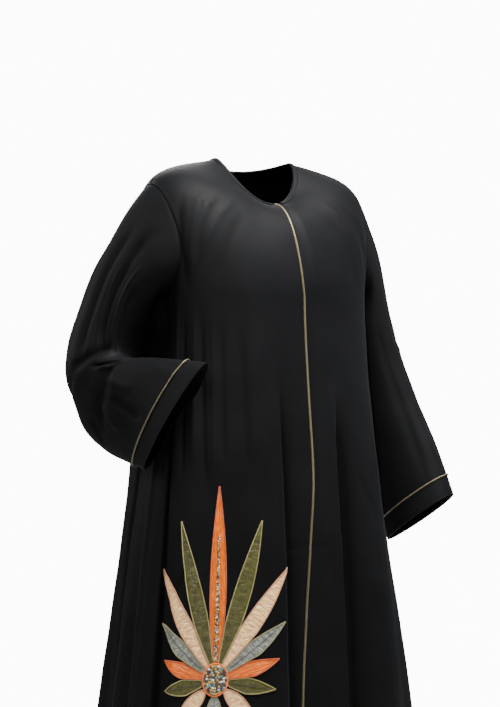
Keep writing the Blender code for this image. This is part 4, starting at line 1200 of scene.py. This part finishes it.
class Sleeve:
    """One sleeve's surface: the loft of its table, carried into its armhole, with its folds."""

    def __init__(self, side, sign, rows, troughs):
        self.side = side
        self.sign = sign
        self.table = columns_of(SLEEVE_COLUMNS, rows)
        self.lines = [(ta, aa, tb, ab, width, deep) for aa, ta, ab, tb, width, deep in troughs]

    def bare(self, turn, along):
        """The loft, plus its misfit at the armhole fading out down the sleeve."""
        turn, along = np.broadcast_arrays(np.asarray(turn, float), np.asarray(along, float))
        point = sleeve_loft(self.table, turn, along)
        angle, level = armhole_place(turn, HEAD_SHRINK)
        misfit = body_point(angle, level) - sleeve_loft(self.table, turn, np.zeros_like(along))
        return point + misfit * (1.0 - step(along / SLEEVE_SETTLE))[..., None]

    def bare_normal(self, turn, along):
        """Cross product of the slopes down and round the bare surface, outwards."""
        return outward(self.bare, turn, along, SLEEVE_NEARBY, 1.0)

    def sunk(self, turn, along):
        """The folds' soft lines, starting a little below the armhole."""
        lines = soft_lines(self.lines, turn, along, SLEEVE_GIRTH / 360.0, SLEEVE_LENGTH)
        return lines * step(along / TROUGHS_START)

    def point(self, turn, along):
        """The bare surface sunk by the folds and the cloth's waves, clear of the body."""
        turn, along = np.broadcast_arrays(np.asarray(turn, float), np.asarray(along, float))
        angle = np.radians(turn)
        slanted = along * SLEEVE_LENGTH + SLEEVE_WAVE_SLANT * np.cos(angle)
        uneven = waves(SLEEVE_WAVE_REACH * np.sin(angle), slanted)
        sunk = self.sunk(turn, along) - uneven * step(along / TROUGHS_START)
        point = self.bare(turn, along) - self.bare_normal(turn, along) * sunk[..., None]
        return clear_of_body(point, along)

    def normal(self, turn, along):
        """Outward direction, turning to the body's own at the armhole."""
        own = outward(self.point, turn, along, SLEEVE_NEARBY, 1.0)
        head = body_normal(*armhole_place(turn, HEAD_SHRINK))
        share = (1.0 - step(along / HEAD_TURNS_OVER))[..., None]
        return unit(own * (1.0 - share) + head * share)

    def band_start(self, turn, offset=0.0):
        """Where the hem band starts, as far from the hem all round, and an offset past it."""
        at = np.full_like(turn, 1.0 - 2 * TINY)
        stretch = self.point(turn, at + TINY) - self.point(turn, at - TINY)
        pace = np.linalg.norm(stretch, axis=-1) / (2 * TINY)
        return 1.0 - (CUFF_BAND_WIDTH - offset) / pace

    def placed(self, points):
        """The points on the sleeve's own side of the body."""
        return points * np.array([self.sign, 1.0, 1.0])

    def shell(self, name, node, turn, along, sink, wall, finish):
        """A tube of cloth over the turns and a grid of places along the sleeve."""
        turn = np.broadcast_to(turn, along.shape)
        normal = self.normal(turn, along)
        outer = self.point(turn, along)
        v = run_of(outer, 0)
        outer = outer - normal * sink(v)[..., None]
        inner = outer - wall * normal
        across = np.linspace(0.0, SLEEVE_GIRTH, turn.shape[1] + 1)
        down = np.concatenate([v, v[:, :1]], axis=1)
        uv = np.stack(np.broadcast_arrays(across[None, :], down), -1)
        piece = shell_piece(name, self.placed(outer), self.placed(inner), uv, finish, closed=True)
        # depth of the sleeve's folds, kept for the painted shade in their hollows
        mark_hollows(piece, SLEEVE_HOLLOW_SHARE * self.sunk(turn, along))
        return worn_by(piece, "cloth", node)

    def make(self, cloth, band_cloth, cord):
        """The sleeve and its hem band, with the cord over the seam between them."""
        side = self.side
        turn = np.arange(SLEEVE_TURNS) * 360.0 / SLEEVE_TURNS
        above, below = self.band_start(turn, -0.5 * SEAM_GAP), self.band_start(turn, 0.5 * SEAM_GAP)
        along = np.linspace(0.0, 1.0, SLEEVE_ROWS + 1)[:, None] * above
        tube = self.shell(f"crepe_sleeve_{side}", f"sleeve_{side}", turn, along, sleeve_sink, SHELL, cloth)
        share = np.linspace(0.0, 1.0, BAND_ROWS + 1)[:, None]
        along = below * (1.0 - share) + share
        band = self.shell(
            f"crepe_hem_band_{side}", f"cuff_band_{side}", turn, along, band_sink, BAND_WALL, band_cloth
        )
        turn = np.arange(CUFF_CORD_POINTS) * 360.0 / CUFF_CORD_POINTS
        along = self.band_start(turn)
        normal = self.normal(turn, along)
        path = self.placed(self.point(turn, along) + normal * (CUFF_CORD_RADIUS + CUFF_CORD_LIFT))
        edging = rope_piece(
            f"gold_cord_cuff_{side}", path, self.placed(normal), CUFF_CORD_RADIUS, cord,
            pitch=CUFF_CORD_PITCH, closed=True,
        )
        worn_by(edging, "cord", f"cuff_cord_{side}")
        return tube, band


def flower_place(across, along):
    """Angle and level of a place by its millimetres from the flower's middle, across and up."""
    level = level_at(FLOWER_DROP - along)
    return FLOWER_ANGLE + across / pace_round(np.full_like(level, FLOWER_ANGLE), level), level


def on_panel(across, along, height):
    """A point over the right front at a height above it, and the panel's normal there."""
    angle, level = flower_place(across, along)
    normal = cloth_normal(angle, level)
    return cloth_point(angle, level) + normal * np.asarray(height)[..., None], normal


def petal_outline(lean, length, half_width, curl, room, share):
    """Middle line and half width of a petal at shares of its length, in millimetres across and up.

    The middle line leaves the flower along its lean and turns steadily by the curl. The half width
    swells from a narrow foot, runs out to a point and stays inside the petal's room.
    """
    turned = math.radians(lean)
    rim = math.hypot(FLOWER_HALF_WIDTH * math.sin(turned), FLOWER_HALF_HEIGHT * math.cos(turned))
    rim = rim + PETAL_GAP
    even = np.linspace(0.0, 1.0, PETAL_CURVE + 1)
    heading = np.radians(lean + curl * (even - PETAL_TRUE_AT))
    pace = 0.5 * length / PETAL_CURVE
    gone_across, gone_along = (
        np.concatenate([[0.0], np.cumsum(pace * (part[1:] + part[:-1]))])
        for part in (np.sin(heading), np.cos(heading))
    )
    across = rim * math.sin(turned) + np.interp(share, even, gone_across)
    along = rim * math.cos(turned) + np.interp(share, even, gone_along)
    heading = np.interp(share, even, heading)
    foot, belly, rise, fall = PETAL_SWELL
    swell = foot * (1.0 - share) ** 2 + belly * share**rise * (1.0 - share) ** fall
    most = np.hypot(across, along) * math.tan(math.radians(0.5 * room)) - PETAL_GAP
    width = np.minimum(half_width * swell + PETAL_TIP, most)
    return across, along, np.sin(heading), np.cos(heading), width


def petal_cloth(shape, mirror, ribbed):
    """Outer grid, inner grid and map of a petal: crowned across, puckered along, sunk under its rib."""
    length, half_width = shape[1:3]
    share = np.linspace(0.0, 1.0, max(int(length / PETAL_ROW), PETAL_ROWS_LEAST) + 1)
    across, along, side, ahead, width = petal_outline(*shape, share)
    t = np.linspace(-1.0, 1.0, PETAL_ACROSS + 1)
    inset = np.maximum(width - 0.5 * EDGE_RADIUS, PETAL_NARROWEST)
    x = mirror * (across[:, None] + t[None, :] * (inset * ahead)[:, None])
    y = along[:, None] - t[None, :] * (inset * side)[:, None]
    crown = arch(t)[None, :] * np.clip(width / half_width, PETAL_FLATTEST, 1.0)[:, None]
    drift = PUCKER_DRIFT * np.sin(share * length / PUCKER_DRIFT_LENGTH)
    pucker = PUCKER * np.sin(share * length / PUCKER_LENGTH + drift)[:, None] * (1 - t * t)
    top = APPLIQUE_LIFT + PETAL_WALL + PETAL_CROWN * crown + pucker
    if ribbed:
        top = top - groove(t, RIB_GROOVE)[None, :]
    outer, _ = on_panel(x, y, top)
    inner, _ = on_panel(x, y, APPLIQUE_LIFT)
    return outer, inner, np.stack(np.broadcast_arrays(t * inset[:, None], (share * length)[:, None]), -1)


def petal_loop(shape, share):
    """A closed path round a petal's outline, across and up, without points that nearly touch."""
    across, along, side, ahead, width = petal_outline(*shape, share)
    left = np.stack([across - width * ahead, along + width * side], -1)
    right = np.stack([across + width * ahead, along - width * side], -1)
    loop = np.concatenate([left, right[::-1]])
    apart = np.linalg.norm(np.diff(loop, axis=0), axis=-1) > CLOSEST_POINTS
    return loop[np.concatenate([[True], apart])]


def make_petal(row, room, mirror, label, satins, edges, rib_finish):
    """A satin petal, its stitched edge and its midrib, sewn on the right front."""
    *form, colour, rib = row
    shape = (*form, room)
    lean, length = form[:2]
    number = f"{label}_{int(lean):03d}"
    petal = shell_piece(f"satin_petal_{number}", *petal_cloth(shape, mirror, rib != "none"), satins[colour])
    worn_by(petal, colour, f"petal_{number}")

    share = np.linspace(0.0, 1.0, max(int(length / THREAD_ROW), THREAD_ROWS_LEAST) + 1)
    across, along = petal_loop(shape, share).T
    path, normal = on_panel(mirror * across, along, APPLIQUE_LIFT + EDGE_RISE)
    edge = rope_piece(
        f"stitched_edge_{number}", path, normal, EDGE_RADIUS, edges[colour],
        strands=2, pitch=4.0, depth=0.08, sides=6, closed=True,
    )
    worn_by(edge, colour)
    if rib == "stitch":
        share = share[(share > RIB_SPAN[0]) & (share < RIB_SPAN[1])]
        across, along = petal_outline(*shape, share)[:2]
        path, normal = on_panel(mirror * across, along, APPLIQUE_LIFT + PETAL_WALL + PETAL_CROWN - RIB_SINK)
        line = rope_piece(
            f"stitched_rib_{number}", path, normal, RIB_RADIUS, rib_finish,
            strands=2, pitch=3.0, depth=0.15, sides=6,
        )
        worn_by(line, colour)


def dome(x, y):
    """Height of the flower's middle as a share: √(1 - r²), where r is 1 on its oval edge."""
    from_middle = (x / FLOWER_HALF_WIDTH) ** 2 + (y / FLOWER_HALF_HEIGHT) ** 2
    return np.sqrt(np.clip(1.0 - from_middle, 0.0, 1.0))


def make_middle():
    """The flower's domed pad and the stitched rim round it."""
    rise = -np.cos(np.linspace(0.0, 1.0, PAD_ROWS + 1) * math.pi)
    half = arch(rise) * (FLOWER_HALF_WIDTH - PAD_INSET) + PAD_TIP
    x = half[:, None] * np.linspace(-1.0, 1.0, PAD_ACROSS + 1)[None, :]
    y = np.broadcast_to((rise * (FLOWER_HALF_HEIGHT - PAD_INSET))[:, None], x.shape)
    outer, _ = on_panel(x, y, APPLIQUE_LIFT + PAD_WALL + DOME_RISE * dome(x, y))
    inner, _ = on_panel(x, y, APPLIQUE_LIFT)
    thread = stitched("pad_thread", shade(RIB, 2.0))
    worn_by(shell_piece("flower_pad", outer, inner, np.stack([x, y], -1), thread), "beads", "flower_middle")

    turn = np.linspace(0.0, 2 * math.pi, RIM_POINTS + 1)[:-1]
    across, along = FLOWER_HALF_WIDTH * np.sin(turn), FLOWER_HALF_HEIGHT * np.cos(turn)
    path, normal = on_panel(across, along, APPLIQUE_LIFT + RIM_RISE)
    rim = rope_piece(
        "stitched_rim", path, normal, RIM_RADIUS, stitched("orange_rim_thread", SATIN["orange"]),
        strands=2, pitch=5.0, depth=0.1, sides=8, closed=True,
    )
    worn_by(rim, "orange")


def bead_rings():
    """Beads in rings over the dome: across, up, and two numbers for the ring and the place in it."""
    x, y, number = [], [], []
    for ring, share in enumerate(np.linspace(0.0, BEADS_OUT_TO, BEAD_RINGS)):
        half_width, half_height = FLOWER_HALF_WIDTH * share, FLOWER_HALF_HEIGHT * share
        count = max(int(math.pi * (half_width + half_height) / BEAD_SPACING), 1)
        turn = (np.arange(count) + 0.5 * (ring % 2)) * 2 * math.pi / count
        x.append(half_width * np.sin(turn))
        y.append(half_height * np.cos(turn))
        number.append(np.stack([np.full(count, ring), np.arange(count)], -1))
    return [np.concatenate(parts) for parts in (x, y, number)]


def bead_rows():
    """The same for the beads in three rows along the rib, which come together towards its tip."""
    place = np.arange(RIB_BEADS)
    along = place * RIB_BEAD_STEP + FLOWER_HALF_HEIGHT + RIB_BEADS_START
    wide = RIB_ROWS_APART * np.clip((RIB_BEADS - place) / RIB_TAPER, RIB_CLOSEST, 1.0)
    x, y, number = [], [], []
    for row, side in enumerate((-1.0, 0.0, 1.0)):
        x.append(side * wide + RIB_SWAY * np.sin(place * RIB_SWAY_STEP + row))
        y.append(along + RIB_STAGGER * (row % 2))
        number.append(np.stack([np.full(RIB_BEADS, RIB_FIRST_ROW + row), place], -1))
    return [np.concatenate(parts) for parts in (x, y, number)]


def make_beads():
    """The beads, each kind in one piece. A bead's numbers give its draw, and that its size and its kind."""
    x, y, number = (np.concatenate(pair) for pair in zip(bead_rings(), bead_rows()))
    on_rib = number[:, 0] >= RIB_FIRST_ROW
    over_dome = APPLIQUE_LIFT + BEAD_RISE + DOME_RISE * dome(x, y)
    over_rib = APPLIQUE_LIFT + PETAL_WALL + PETAL_CROWN + RIB_BEAD_RISE
    centre, normal = on_panel(x, y, np.where(on_rib, over_rib, over_dome))
    mixed = np.sin(number[:, 0] * SCATTER[0] + number[:, 1] * SCATTER[1]) * SCATTER[2]
    draw = np.modf(mixed)[0] % 1.0
    size = BEAD_SIZES[0] + BEAD_SIZES[1] * (draw * SIZE_SCATTER % 1.0)
    radius = size * np.where(on_rib, RIB_BEAD_RADIUS, BEAD_RADIUS)
    draw = np.where(on_rib, draw**RIB_DARKER, draw)
    low = 0.0
    for kind, colour, high in BEADS:
        chosen = (draw >= low) & (draw < high)
        beads = ball_cloud(
            f"beads_{kind}", centre[chosen], normal[chosen], radius[chosen], glass(f"{kind}_glass", colour)
        )
        worn_by(beads, "beads")
        low = high


def make_flower():
    """Mirrored pairs of petals round a domed middle that is covered with rings of beads."""
    satins = {colour: satin(colour) for colour in SATIN}
    edges = {colour: stitched(f"{colour}_edge_thread", EDGE[colour]) for colour in EDGE}
    rib_finish = stitched("dark_rib_thread", RIB)
    gaps = np.diff([row[0] for row in PETALS])
    rooms = np.minimum(np.append(gaps[0], gaps), np.append(gaps, gaps[-1]))
    for row, room in zip(PETALS, rooms):
        pairs = ((1.0, "middle"),) if row[0] % 180.0 == 0 else ((1.0, "left"), (-1.0, "right"))
        for mirror, label in pairs:
            make_petal(row, room, mirror, label, satins, edges, rib_finish)
    make_middle()
    make_beads()


def make_front_cord(cord):
    """The cord along the right front's free edge, lying on the left front."""
    levels = np.linspace(0.0, LEVEL_HEM, FRONT_CORD_POINTS)
    edge = opening_angle(levels)
    beyond = edge + (FRONT_CORD_RADIUS + FRONT_CORD_BESIDE) / pace_round(edge, levels)
    normal = cloth_normal(beyond, levels)
    path = cloth_point(beyond, levels) + normal * (FRONT_CORD_RADIUS + FRONT_CORD_LIFT - OVERLAP)
    edging = rope_piece("gold_cord_front", path, normal, FRONT_CORD_RADIUS, cord, pitch=FRONT_CORD_PITCH)
    worn_by(edging, "cord", "front_cord")


def make_neck_binding(finish):
    """A narrow rolled strip round the neck edge: a raised arc across its width."""
    opening = float(opening_angle(np.array([0.0]))[0])
    angle = np.linspace(opening + TUCK_END_ANGLE, 360.0 + opening - BINDING_SHORT, BINDING_POINTS)
    near = body_point(angle, np.zeros_like(angle))
    far = body_point(angle, np.full_like(angle, PROBE_LEVEL))
    reach = PROBE_LEVEL * BINDING_WIDTH / np.linalg.norm(far - near, axis=-1)
    t = np.linspace(0.0, 1.0, BINDING_ROWS + 1)
    level = (BINDING_INSET + (1.0 - BINDING_INSET) * t)[:, None] * reach[None, :]
    around = np.broadcast_to(angle, level.shape)
    normal = body_normal(around, level)
    base = body_point(around, level) + normal * BINDING_LIFT
    rise = BINDING_EDGE + BINDING_RISE * arch(2 * t - 1.0)
    outer = base + normal * rise[:, None, None]
    uv = np.stack([run_of(outer, 1), run_of(outer, 0)], -1)
    piece = shell_piece("crepe_neck_binding", outer, base, uv, finish)
    return worn_by(piece, "cloth", "neck_binding")


def right_edges(levels):
    """The right front, from its side to its free edge."""
    return side_edge(-1.0, False, levels), opening_angle(levels)


def left_edges(levels):
    """The left front, from under the right front to its side."""
    return opening_angle(levels) - LAP_ANGLE, side_edge(1.0, False, levels)


def back_edges(levels):
    """The back, from the left side to the right side."""
    return side_edge(1.0, True, levels), 360.0 - side_edge(1.0, True, levels)


def make_cloak():
    """All pieces of the cloak."""
    cloth = crepe("black_crepe", 0.58)
    band_cloth = crepe("black_crepe_hem", 0.60)
    cord = gold_cord()
    front_right = panel_piece(
        "crepe_front_right", "front_right", right_edges, FRONT_COLUMNS, cloth, free_edge=1
    )
    front_left = panel_piece(
        "crepe_front_left", "front_left", left_edges, FRONT_COLUMNS, cloth, sunk=tuck, free_edge=0
    )
    back = panel_piece("crepe_back", "back", back_edges, BACK_COLUMNS, cloth)
    right = Sleeve("right", -1.0, RIGHT_SLEEVE, RIGHT_TROUGHS).make(cloth, band_cloth, cord)
    left = Sleeve("left", 1.0, LEFT_SLEEVE, LEFT_TROUGHS).make(cloth, band_cloth, cord)
    make_front_cord(cord)
    binding = make_neck_binding(band_cloth)
    make_flower()


def make_floor():
    """A pale round floor under the hem."""
    turn = np.linspace(0.0, 2 * math.pi, FLOOR_SIDES + 1)[:-1]
    height = np.full(turn.shape, -HEM_DROP - FLOOR_BELOW)
    ring = np.stack([FLOOR_RADIUS * np.cos(turn), FLOOR_RADIUS * np.sin(turn), height], -1)
    mesh = bpy.data.meshes.new("pale_floor")
    mesh.from_pydata((ring * METRES).tolist(), [], [list(range(FLOOR_SIDES))])
    mesh.materials.append(Finish("pale_paper", PAPER, {"Roughness": 0.9}).made)
    floor = bpy.data.objects.new("pale_floor", mesh)
    bpy.context.scene.collection.objects.link(floor)


def make_surroundings():
    """White all round: bright where the camera sees it, faint as light."""
    world = bpy.data.worlds.new("white_room")
    bpy.context.scene.world = world
    world.use_nodes = True
    tree = world.node_tree
    seen, lit = tree.nodes["Background"], tree.nodes.new("ShaderNodeBackground")
    for background, strength in ((seen, WHITE_SEEN), (lit, WHITE_LIGHT)):
        background.inputs["Color"].default_value = WHITE
        background.inputs["Strength"].default_value = strength
    ray = tree.nodes.new("ShaderNodeLightPath")
    either = tree.nodes.new("ShaderNodeMixShader")
    tree.links.new(ray.outputs["Is Camera Ray"], either.inputs[0])
    tree.links.new(lit.outputs[0], either.inputs[1])
    tree.links.new(seen.outputs[0], either.inputs[2])
    tree.links.new(either.outputs[0], tree.nodes["World Output"].inputs["Surface"])


def view_axes():
    """The directions to the right of the picture and towards the camera."""
    azimuth = math.radians(VIEW_AZIMUTH)
    right = Vector((math.cos(azimuth), math.sin(azimuth), 0.0))
    return right, Vector((math.sin(azimuth), -math.cos(azimuth), 0.0))


def in_view(sideways, height, ahead):
    """A place by its metres from the view's middle: to the right, up and towards the camera."""
    right, towards = view_axes()
    middle = Vector((0.0, 0.0, VIEW_HEIGHT)) + right * VIEW_SHIFT
    return middle + right * sideways + Vector((0.0, 0.0, height)) + towards * ahead


def make_camera():
    """The camera, level and looking at the view's middle."""
    towards = view_axes()[1]
    camera = bpy.data.cameras.new("camera")
    camera.lens = LENS
    camera.sensor_width = SENSOR
    camera.clip_end = FARTHEST
    eye = bpy.data.objects.new("camera", camera)
    eye.location = in_view(0.0, 0.0, VIEW_DISTANCE)
    eye.rotation_euler = towards.to_track_quat("Z", "Y").to_euler()
    bpy.context.scene.collection.objects.link(eye)
    bpy.context.scene.camera = eye


def place_lamp(light, place, aim):
    """A lamp at a place, pointing at its aim."""
    lamp = bpy.data.objects.new(light.name, light)
    lamp.location = place
    lamp.rotation_euler = (place - aim).to_track_quat("Z", "Y").to_euler()
    bpy.context.scene.collection.objects.link(lamp)


def make_lamps():
    """Square lamps aimed at the view's middle, and a narrow spot on the left sleeve."""
    for name, sideways, height, ahead, width, power in LAMPS:
        light = bpy.data.lights.new(name, "AREA")
        light.shape = "SQUARE"
        light.size = width
        light.energy = power
        place_lamp(light, in_view(sideways, height, ahead), in_view(0.0, 0.0, 0.0))
    spot = bpy.data.lights.new("sleeve_spot", "SPOT")
    spot.energy = SPOT_POWER
    spot.spot_size = math.radians(SPOT_ANGLE)
    spot.spot_blend = 1.0
    spot.shadow_soft_size = SPOT_SOFTNESS
    place_lamp(spot, in_view(*SPOT_PLACE), in_view(*SPOT_AIM))


make_floor()
make_surroundings()
make_camera()
make_lamps()
make_cloak()
